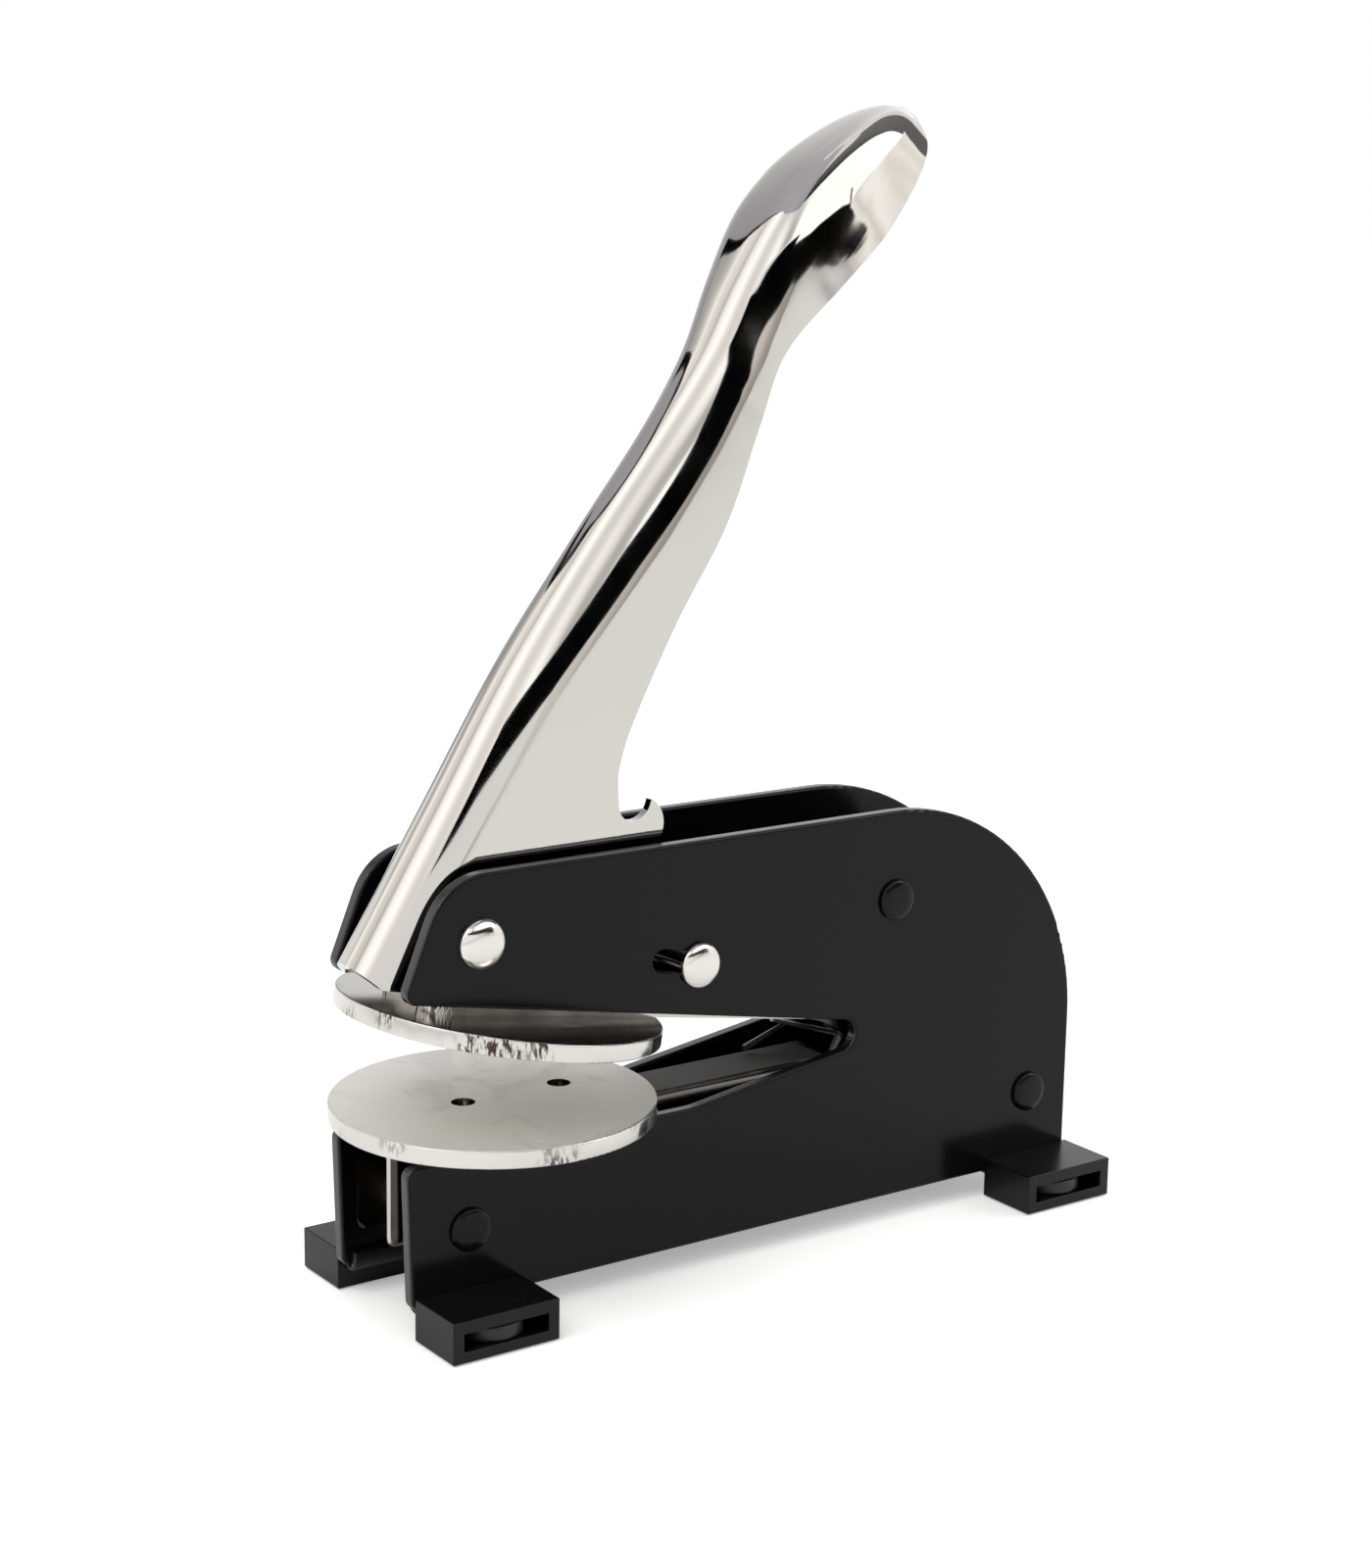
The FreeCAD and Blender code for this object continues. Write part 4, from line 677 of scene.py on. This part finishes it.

# %% [markdown]
# ## The round die plates
#
# A disc's face and its rim differ in finish, so its faces are sorted by the way they point: those
# along the axis are satin, and the rest is the sheared rim. The upper disc's back is rubbed smoother,
# so it shows the dark of the side plates above it, and its darker grey there is painted shade.

# %% Die plates
ARM_SLOPE = radians(9.7)
arm_axis = Vector((sin(ARM_SLOPE), 0, cos(ARM_SLOPE)))
sort_faces(smooth_copy("lower_die_plate", die_face), lower_rim,
           lambda face: abs(face.normal.z) < AXIAL)
upper_plate = smooth_copy("upper_die_plate", die_back_with_painted_shade)
sort_faces(upper_plate, upper_rim, lambda face: abs(face.normal.dot(arm_axis)) < AXIAL)
sort_faces(upper_plate, die_face, lambda face: face.normal.dot(arm_axis) < -AXIAL)

# %% [markdown]
# ## Feet
#
# Each foot is one moulding with a window for its rubber pad. A mould never gives a perfectly sharp
# edge, and its narrow round catches the light, so the copy's edges are bevelled.

# %% Feet
FOOT_ROUND = 0.22
CORNERS = ["%s_%s" % (end, side) for end in ("front", "back") for side in ("left", "right")]
feet = [moulded_copy("foot_" + corner, abs_black, FOOT_ROUND) for corner in CORNERS]
print("feet:", [len(foot.data.polygons) for foot in feet], "faces")

# %% [markdown]
# ## Turned parts
#
# Rivets, pins, tubes, rings and rubber pads are bodies of revolution: one outline turned round an
# axis. A Geometry Nodes tree does that. It lays out a grid, takes the radius and the height of each
# row from a point of the outline, and winds the rows round the axis. Then it puts a copy at each
# place it is given. So three equal rivets are one outline and three points.

# %% Lathe tree
def start_tree(name, wanted):
    """A Geometry Nodes group. Returns the tree, what it is given and the keys of its inputs."""
    tree = bpy.data.node_groups.new(name, "GeometryNodeTree")
    keys = {label: tree.interface.new_socket(
        label, in_out="INPUT", socket_type="NodeSocket" + kind).identifier
        for label, kind in wanted.items()}
    tree.interface.new_socket("Result", in_out="OUTPUT", socket_type="NodeSocketGeometry")
    return tree, add_node(tree, "NodeGroupInput").outputs, keys


def end_tree(tree, geometry, finish):
    """Makes the geometry real, gives it its finish and hands it out."""
    real = add_node(tree, "GeometryNodeRealizeInstances", inputs={"Geometry": geometry})
    finished = add_node(tree, "GeometryNodeSetMaterial", inputs={
        "Geometry": real.outputs[0], "Material": finish})
    add_node(tree, "NodeGroupOutput", inputs={"Result": finished.outputs[0]})


def run_tree(piece, tree, keys, values):
    """Runs the tree on the piece, whose mesh becomes what comes out."""
    modifier = piece.modifiers.new(tree.name, "NODES")
    modifier.node_group = tree
    for label, value in values.items():
        modifier[keys[label]] = value
    settle(piece)


def lathe_tree():
    tree, given, keys = start_tree("turned_part", {
        "Places": "Geometry", "Outline": "Object", "Steps": "Int", "Turn": "Rotation",
        "Finish": "Material"})
    drawn = add_node(tree, "GeometryNodeObjectInfo", inputs={
        "Object": given["Outline"]}).outputs["Geometry"]
    count = add_node(tree, "GeometryNodeAttributeDomainSize", inputs={
        "Geometry": drawn}).outputs["Point Count"]
    columns = add_node(tree, "ShaderNodeMath", {"operation": "ADD"}, {0: given["Steps"], 1: 1})
    grid = add_node(tree, "GeometryNodeMeshGrid", inputs={
        "Vertices X": count, "Vertices Y": columns.outputs[0]})
    position = add_node(tree, "GeometryNodeInputPosition").outputs[0]
    spot = add_node(tree, "ShaderNodeSeparateXYZ", inputs={"Vector": position}).outputs
    # the grid runs from -0.5 to 0.5: X tells the row, and Y the share of a whole turn
    last = add_node(tree, "ShaderNodeMath", {"operation": "SUBTRACT"}, {0: count, 1: 1})
    share = add_node(tree, "ShaderNodeMath", {"operation": "ADD"}, {0: spot["X"], 1: 0.5})
    row = add_node(tree, "ShaderNodeMath", {"operation": "MULTIPLY"}, {
        0: share.outputs[0], 1: last.outputs[0]})
    whole = add_node(tree, "ShaderNodeMath", {"operation": "ROUND"}, {0: row.outputs[0]})
    taken = add_node(tree, "GeometryNodeSampleIndex", {"data_type": "FLOAT_VECTOR"}, {
        "Geometry": drawn, "Value": position, "Index": whole.outputs[0]})
    outline = add_node(tree, "ShaderNodeSeparateXYZ", inputs={
        "Vector": taken.outputs["Value"]}).outputs
    angle = add_node(tree, "ShaderNodeMath", {"operation": "MULTIPLY"}, {
        0: spot["Y"], 1: 4 * QUARTER})
    wound = add_node(tree, "ShaderNodeCombineXYZ", inputs={"Y": outline["Y"]})
    for axis, wave in (("X", "COSINE"), ("Z", "SINE")):
        swing = add_node(tree, "ShaderNodeMath", {"operation": wave}, {0: angle.outputs[0]})
        reach = add_node(tree, "ShaderNodeMath", {"operation": "MULTIPLY"}, {
            0: swing.outputs[0], 1: outline["X"]})
        tree.links.new(reach.outputs[0], wound.inputs[axis])
    turned = add_node(tree, "GeometryNodeSetPosition", inputs={
        "Geometry": grid.outputs["Mesh"], "Position": wound.outputs[0]})
    closed = add_node(tree, "GeometryNodeMergeByDistance", inputs={
        "Geometry": turned.outputs[0], "Distance": SAME_SPOT})
    copies = add_node(tree, "GeometryNodeInstanceOnPoints", inputs={
        "Points": given["Places"], "Instance": closed.outputs[0], "Rotation": given["Turn"]})
    end_tree(tree, copies.outputs[0], given["Finish"])
    return tree, keys


turning, turning_keys = lathe_tree()


def line_mesh(name, points):
    """Points in metres, each joined to the next."""
    mesh = bpy.data.meshes.new(name)
    mesh.from_pydata(points, [(i, i + 1) for i in range(len(points) - 1)], [])
    return mesh


def turned(name, nodes, outline, finish, steps=48, turn=(0.0, 0.0, 0.0), height=None):
    """Turns the outline, given as (radius, height) in millimetres, at the middle of each node or
    at one height."""
    profile = new_object(name + "_outline", line_mesh(
        name + "_outline", [Vector((x, y, 0)) * MM for x, y in outline]))
    spots = [middle(node) for node in nodes]
    if height is not None:
        spots = [Vector((spot.x, spot.y, height)) for spot in spots]
    places = bpy.data.meshes.new(name + "_places")
    places.from_pydata(spots, [], [])
    piece = new_object(name, places)
    run_tree(piece, turning, turning_keys, {
        "Outline": profile, "Steps": steps, "Turn": turn, "Finish": finish})
    bpy.data.objects.remove(profile)
    closed = bmesh.new()
    closed.from_mesh(piece.data)
    shade(write_back(closed, piece.data))
    ride_and_replace(piece, *nodes)
    print(name + ":", len(nodes), "turned,", len(piece.data.polygons), "faces")

# %% Outlines
CROWN_STEPS, CENTRE = 14, (0, 0)


def polar(centre, radius, angle):
    return centre[0] + radius * cos(angle), centre[1] + radius * sin(angle)


def arc(centre, radius, start, end, count=5):
    """Points on an arc from one angle to another, in radians."""
    return [polar(centre, radius, start + (end - start) * share) for share in shares(count)]


def rounded_side(outer, top, bottom, edge):
    """The outside of a turned part, with its two corners rounded."""
    return (arc((outer - edge, top - edge), edge, QUARTER, 0)
            + arc((outer - edge, bottom + edge), edge, 0, -QUARTER))


def headed_outline(shank, half_grip, head, height, fullness, lip):
    """A pin with a low domed head at each end. fullness above 2 gives a flatter crown."""
    upper = [(head * sin(QUARTER * share) ** (2 / fullness),
              half_grip + lip + (height - lip) * cos(QUARTER * share) ** (2 / fullness))
             for share in shares(CROWN_STEPS)] + [(head, half_grip), (shank, half_grip)]
    return upper + [(x, -y) for x, y in reversed(upper)]


def tube_outline(node, inner, edge=0.2):
    """A tube or ring with its outer corners broken. It comes back to where it starts."""
    size = half_size(node)
    return ([(inner, size.y)] + rounded_side(size.x, size.y, -size.y, edge)
            + [(inner, -size.y), (inner, size.y)])


def rod_outline(node, edge):
    """A plain rod with its corners broken."""
    size = half_size(node)
    return [(0, size.y)] + rounded_side(size.x, size.y, -size.y, edge) + [(0, -size.y)]

# %% Pins, rivets, tubes and rings
TIE_SHANK, TIE_GRIP, TIE_HEAD, TIE_HEAD_H = 2.3, 12.6, 3.65, 1.1
PIVOT_SHANK, PIVOT_HEAD_H, BUSH_PLAY = 3.0, 1.9, 0.05
LOCK_SHANK, LOCK_HEAD, LOCK_HEAD_H, LOCK_HEAD_INSET = 2.0, 3.85, 1.5, 2.2
DOME, FLAT_DOME, LIP, TIE_LIP, ROD_EDGE = 2.3, 2.9, 0.3, 0.25, 0.3
for row in [
        # name, nodes, outline, finish, steps round it
        ("tie_rivets", ["front_tie_rivet", "back_tie_rivet", "top_tie_rivet"], headed_outline(
            TIE_SHANK, TIE_GRIP, TIE_HEAD, TIE_HEAD_H, FLAT_DOME, TIE_LIP), enamel),
        ("tie_rings", ["front_ring_left", "front_ring_right", "back_ring_left", "back_ring_right"],
         tube_outline("front_ring_left", TIE_SHANK), enamel),
        ("tie_tubes", ["front_tie_tube", "back_tie_tube"],
         tube_outline("front_tie_tube", TIE_SHANK), pin_nickel),
        ("top_spacer", ["top_tie_tube"], tube_outline("top_tie_tube", TIE_SHANK), pin_nickel),
        ("pivot_pin", ["lever_pivot_pin"], headed_outline(
            PIVOT_SHANK, TIE_GRIP, half_size("lever_pivot_pin").x, PIVOT_HEAD_H, DOME, LIP),
         pin_nickel, 64),
        ("pivot_washers", ["pivot_washer_left", "pivot_washer_right"],
         tube_outline("pivot_washer_left", PIVOT_SHANK), pin_nickel),
        ("lock_knobs", ["lock_pin"], headed_outline(
            LOCK_SHANK, half_size("lock_pin").y - LOCK_HEAD_INSET, LOCK_HEAD, LOCK_HEAD_H, DOME,
            LIP), pin_nickel, 64),
        ("lever_bush", ["lever_tube"], tube_outline("lever_tube", PIVOT_SHANK + BUSH_PLAY),
         pin_nickel),
        ("arm_hinge_pin", ["hinge_pin"], rod_outline("hinge_pin", ROD_EDGE), pin_nickel)]:
    turned(*row)

# %% [markdown]
# ## Arm spring
#
# A torsion spring is one wire wound round the hinge pin, with a straight leg at each end: one lifts
# the arm and the other bears on the channel. A Geometry Nodes tree turns a line of points into a
# curve and sweeps a round section along it.

# %% Wire tree
def wire_tree():
    tree, given, keys = start_tree("drawn_wire", {
        "Path": "Geometry", "Radius": "Float", "Steps": "Int", "Finish": "Material"})
    path = add_node(tree, "GeometryNodeMeshToCurve", inputs={"Mesh": given["Path"]})
    section = add_node(tree, "GeometryNodeCurvePrimitiveCircle", inputs={
        "Resolution": given["Steps"], "Radius": given["Radius"]})
    swept = add_node(tree, "GeometryNodeCurveToMesh", inputs={
        "Curve": path.outputs["Curve"], "Profile Curve": section.outputs["Curve"],
        "Fill Caps": True})
    end_tree(tree, swept.outputs[0], given["Finish"])
    return tree, keys

# %% Spring path and sweep
WIRE_R, COIL_R, COIL_TURNS, COIL_PITCH, LEG_REACH = 0.6, 3.4, 5.0, 1.4, 21.0
COIL_STEPS, WIRE_SIDES, WEB_CLEAR = 40, 20, 1.5  # the last one in wire radii


def leaving(end, side):
    """Angle on the coil where a straight leg to this end leaves it, on the upper or lower side."""
    return atan2(end[1], end[0]) - side * acos(COIL_R / hypot(*end))


def spring_path():
    """Points of the wire's middle in metres: lower leg, coil and lifting leg."""
    lifted = ARM_RISE - 2 * WIRE_R
    arm_end = (-LEG_REACH * cos(ARM_SLOPE) + lifted * sin(ARM_SLOPE),
               LEG_REACH * sin(ARM_SLOPE) + lifted * cos(ARM_SLOPE))
    web_end = (-LEG_REACH, (disc_low.z - hinge.z) / MM + WEB_CLEAR * WIRE_R)
    start, end = leaving(web_end, 1), leaving(arm_end, -1)
    extra = (end - start) / (4 * QUARTER)
    whole = COIL_TURNS + extra - floor(extra)
    coil = []
    for share in shares(COIL_STEPS * int(whole + 1)):
        x, z = polar(CENTRE, COIL_R, start + 4 * QUARTER * whole * share)
        coil.append((x, whole * COIL_PITCH * (0.5 - share), z))
    points = [(web_end[0], coil[0][1], web_end[1])] + coil + [
        (arm_end[0], coil[-1][1], arm_end[1])]
    return [Vector((hinge.x, 0, hinge.z)) + Vector(point) * MM for point in points]


wire_points = spring_path()
spring = new_object("coiled_arm_spring", line_mesh("spring_path", wire_points))
run_tree(spring, *wire_tree(), {
    "Radius": WIRE_R * MM, "Steps": WIRE_SIDES, "Finish": wire_steel})
shade(spring.data)
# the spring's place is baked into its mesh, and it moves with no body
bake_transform(spring)
stand_in(spring, "arm_spring")
print("spring:", len(spring.data.polygons), "faces")

# %% [markdown]
# ## Rubber pads
#
# A pad is a moulded mushroom: a wide rim that shows in the foot's window and a boss that stands on
# the table. It is turned too, with its axis upright and its edges well rounded.

# %% Pads
PAD_BOSS, PAD_RIM_H, PAD_ROUND, BOSS_ROUND = 4.5, 2.6, 0.55, 0.4
pads = ["pad_" + corner for corner in CORNERS]
pad = half_size(pads[0])
pad_outline = ([(0, 2 * pad.z)]
               + rounded_side(pad.x, 2 * pad.z, 2 * pad.z - PAD_RIM_H, PAD_ROUND)
               + [(PAD_BOSS, 2 * pad.z - PAD_RIM_H)]
               + arc((PAD_BOSS - BOSS_ROUND, BOSS_ROUND), BOSS_ROUND, 0, -QUARTER) + [(0, 0)])
turned("rubber_pads", pads, pad_outline, rubber, turn=(QUARTER, 0.0, 0.0), height=0)

# %% [markdown]
# ## The lever
#
# The lever is one pressed sheet: a channel with a round front that swells into a grip. Its mirror
# finish shows every facet, so it is built again on an even grid. Each section is half a
# superellipse with a flange behind each side, and a smooth curve through a short table gives as
# many sections as the finish needs. An inner skin makes the wall, and a flat outline of the side,
# pushed through both, trims the toe, cam, hook and back edge.

# %% Lever sections
LEVER_SECTIONS = [
    # along the lever, front face, end of the rounding, widening, squareness, draw of the walls
    (-8, -0.4, 6.6, 0, 2, 0),
    (27, -5.2, 2.8, 0, 2, 0),
    (54, -8.9, 0.3, 0, 2, 0),
    (79, -10.2, 0.3, 0, 2, 0),
    (100, -10.8, -0.8, 0.05, 2, 0),
    (114, -12.3, -3, 0.25, 2.2, 0.03),
    (126, -15.4, -6, 0.65, 2.5, 0.08),
    (138, -17.6, -8.2, 1, 2.8, 0.11),
    (147, -17.2, -8, 1, 2.8, 0.11),
    (153, -15.9, -7.3, 0.65, 2.8, 0.11),
    (160, -13.4, -5.8, 0.05, 2.6, 0.1),
    (165, -10.9, -4.3, -0.75, 2.4, 0.07),
    (168.5, -8.3, -3.1, -1.75, 2.2, 0.02),
    (171, -5.2, -1.9, -3, 2, 0),
]
LEVER_WIDTH, GRIP_WIDTH, LEVER_SHEET, LEVER_DEPTH, DRAW_DEPTH = 14.7, 18.4, 1.5, 45.0, 20.0
# rows crowd towards the tip, where the sections change fastest
LEVER_ROWS, FRONT_STEPS, ROW_CROWDING = 150, 28, 1.5


def eased(rows, along):
    """The table's values at any distance, on a smooth curve through its rows."""
    def slope(i, column):
        low, high = rows[max(i - 1, 0)], rows[min(i + 1, len(rows) - 1)]
        return (high[column] - low[column]) / (high[0] - low[0])

    i = max(k for k, row in enumerate(rows[:-1]) if row[0] <= along + 1e-9)
    span = rows[i + 1][0] - rows[i][0]
    t = (along - rows[i][0]) / span
    return [rows[i][column] * (1 + 2 * t) * (1 - t) ** 2
            + slope(i, column) * span * t * (1 - t) ** 2
            + rows[i + 1][column] * t * t * (3 - 2 * t)
            - slope(i + 1, column) * span * t * t * (1 - t) for column in range(1, len(rows[0]))]


def lever_point(along, depth, side=0.0):
    """A place from the distance along the lever and the depth behind its line, in metres."""
    spot = LEVER_START + Vector((along * cos(LEVER_LEAN) + depth * sin(LEVER_LEAN), side,
                                 along * sin(LEVER_LEAN) - depth * cos(LEVER_LEAN)))
    return pivot + spot * MM


def lever_skin(inset):
    """One closed skin of the lever as a mesh: the outer one, or one that lies inset inside it."""
    first, tip = LEVER_SECTIONS[0][0], LEVER_SECTIONS[-1][0]
    skin = bmesh.new()
    rings = []
    for share in shares(LEVER_ROWS):
        along = first + (tip - first) * (1 - (1 - share) ** ROW_CROWDING)
        front, crease, wide, square, draw = eased(LEVER_SECTIONS, along)
        along *= (tip - inset) / tip
        half = LEVER_WIDTH / 2 + (GRIP_WIDTH - LEVER_WIDTH) / 2 * wide - inset
        ring = []
        for step in range(-FRONT_STEPS, FRONT_STEPS + 1):
            turn = QUARTER * step / FRONT_STEPS
            bow = abs(cos(turn)) ** (2 / square)
            swell = copysign(abs(sin(turn)) ** (2 / square), step)
            depth = crease - (crease - front - inset) * bow
            ring.append(skin.verts.new(lever_point(along, depth, half * swell)))
        deep = LEVER_DEPTH + 4 * inset
        back = half - draw * min(deep - crease, DRAW_DEPTH)
        for side in (back, -back):
            ring.append(skin.verts.new(lever_point(along, deep, side)))
        rings.append(ring)
    for lower, upper in zip(rings, rings[1:]):
        for i in range(len(lower)):
            j = (i + 1) % len(lower)
            skin.faces.new((lower[i], lower[j], upper[j], upper[i]))
    skin.faces.new(rings[0][::-1])
    skin.faces.new(rings[-1])
    return write_back(skin, bpy.data.meshes.new("lever_skin"))

# %% [markdown]
# The side outline joins a few named points with straight runs, arcs and two smooth curves. The cam
# at the bottom follows from the mechanism: it is the curve that the arm's floor wraps round as the
# lever turns one way and the arm the other.

# %% Lever outline
LEVER_BACK = [(163.5, 1.4), (150, 1.3), (137.5, -0.3), (122, -1.9), (109.7, 2.2),
              (93.7, 7.6), (75.8, 10.1), (58.6, 13.7), (51, 16.5), (47.8, 19)]
LEVER_TIP = [(171.4, -4.6), (170.7, -1.8), (168.2, 0.6)]
HOOK_R, HOOK_RISE, HOOK_GAP = 4.85, radians(22.5), 0.18
NOTCH_R, NOTCH_HEEL_R, NOTCH_RISE, BEAK_R = 3.6, 2.7, radians(29.7), 0.5
LEVER_TOE, PIN_BORE = (-14.3, -6.8), 3.05
LEVER_SWING, ARM_SWING, LOCK_TRAVEL = radians(44.0), radians(9.3), 6.2
CAM_GAP, ARM_SHEET, CAM_STEPS, HOOK_STEPS = 0.25, 2.0, 48, 28
LOCK_REACH = hypot(lock.x - pivot.x, lock.z - pivot.z) / MM


def curve_points(points, per_span=10):
    """A smooth curve through the points (Catmull-Rom, with even tangents)."""
    padded = [points[0]] + list(points) + [points[-1]]
    made = []
    for i in range(1, len(padded) - 2):
        a, b, c, d = padded[i - 1:i + 3]
        for t in [k / per_span for k in range(per_span)]:
            made.append(tuple(0.5 * (2 * q + (r - p) * t + (2 * p - 5 * q + 4 * r - s) * t * t
                                     + (3 * q - p - 3 * r + s) * t ** 3)
                              for p, q, r, s in zip(a, b, c, d)))
    return made + [tuple(points[-1])]


def cam_curve():
    """The cam in millimetres from the pivot, for as many steps of the swing."""
    ratio = ARM_SWING / LEVER_SWING
    run, lift = (pivot.x - hinge.x) / MM, (pivot.z - hinge.z) / MM
    points = []
    for swing in [LEVER_SWING * share for share in shares(CAM_STEPS)]:
        slope = ARM_SLOPE - ratio * swing
        away = run * sin(slope) + lift * cos(slope) - ARM_RISE - ARM_SHEET - CAM_GAP
        rate = (run * cos(slope) - lift * sin(slope)) * -ratio / (1 + ratio)
        turn = swing - slope - QUARTER
        points.append(polar(polar(CENTRE, away, turn), rate, turn + QUARTER))
    return points


def from_line(along, depth):
    """A point given along the lever's line, in millimetres from the pivot."""
    spot = (lever_point(along, depth) - pivot) / MM
    return spot.x, spot.z


def lever_outline():
    """The side outline in millimetres from the pivot: toe, cam, hook, notch, back edge and tip."""
    cam = cam_curve()
    hook = polar(CENTRE, LOCK_REACH - LOCK_SHANK - HOOK_GAP - HOOK_R, HOOK_RISE)
    heading = (atan2(hook[1] - cam[-1][1], hook[0] - cam[-1][0])
               - asin(HOOK_R / dist(hook, cam[-1])))
    notch = polar(CENTRE, LOCK_REACH - LOCK_TRAVEL, NOTCH_RISE)
    heel = (notch[0], notch[1] - NOTCH_R + NOTCH_HEEL_R)
    # where the notch and the hook's outer curve cross, seen from each centre
    span = dist(hook, notch)
    slope = atan2(hook[1] - notch[1], hook[0] - notch[0])
    inner = slope + acos((span ** 2 + NOTCH_R ** 2 - HOOK_R ** 2) / (2 * span * NOTCH_R))
    outer = (slope + 2 * QUARTER
             - acos((span ** 2 + HOOK_R ** 2 - NOTCH_R ** 2) / (2 * span * HOOK_R)))
    points = [(LEVER_TOE[0] - GRIP_WIDTH, LEVER_TOE[1] + GRIP_WIDTH), LEVER_TOE] + cam
    points += arc(hook, HOOK_R, heading - QUARTER, outer - BEAK_R / HOOK_R, HOOK_STEPS)
    beak_in = polar(notch, NOTCH_R, inner - BEAK_R / NOTCH_R)
    beak_top = [(p + q) / 4 + r / 2
                for p, q, r in zip(points[-1], beak_in, polar(notch, NOTCH_R, inner))]
    points += curve_points([points[-1], beak_top, beak_in], 5)[1:-1]
    points += arc(notch, NOTCH_R, inner - BEAK_R / NOTCH_R, -QUARTER, 20)
    points += arc(heel, NOTCH_HEEL_R, -QUARTER, -2 * QUARTER, 12)[1:]
    points += curve_points([from_line(*p) for p in reversed(LEVER_BACK)])
    points += curve_points([from_line(*p) for p in [LEVER_BACK[0]] + LEVER_TIP[::-1]])[1:]
    return points + [from_line(LEVER_TIP[0][0], -LEVER_DEPTH),
                     from_line(-LEVER_DEPTH / 4, -LEVER_DEPTH)]


def prism(outline):
    """A flat outline in the side view, pushed well past both sides of the lever."""
    block = bmesh.new()
    face = block.faces.new([block.verts.new(pivot + Vector((x, -GRIP_WIDTH, z)) * MM)
                            for x, z in outline])
    pushed = bmesh.ops.extrude_face_region(block, geom=[face])
    moved = [v for v in pushed["geom"] if isinstance(v, bmesh.types.BMVert)]
    bmesh.ops.translate(block, verts=moved, vec=Vector((0, 2 * GRIP_WIDTH, 0)) * MM)
    return write_back(block, bpy.data.meshes.new("prism"))


# %% Trim the lever
lever = new_object("lever_pressed", lever_skin(0.0))
bore = arc(CENTRE, PIN_BORE, 0, 4 * QUARTER, 48)[:-1]
cutters = [
    (new_object("side_outline", prism(lever_outline())), "INTERSECT"),
    (new_object("inner_skin", lever_skin(LEVER_SHEET)), "DIFFERENCE"),
    (new_object("pin_bore", prism(bore)), "DIFFERENCE"),
]
settle(lever, [("BOOLEAN", {"operation": kind, "object": cutter, "solver": "EXACT"})
               for cutter, kind in cutters])
for cutter, _ in cutters:
    bpy.data.objects.remove(cutter)
lever.data.materials.clear()
lever.data.materials.append(lever_nickel)
shade(lever.data)
ride_and_replace(lever, "lever")
print("lever:", len(lever.data.polygons), "faces")
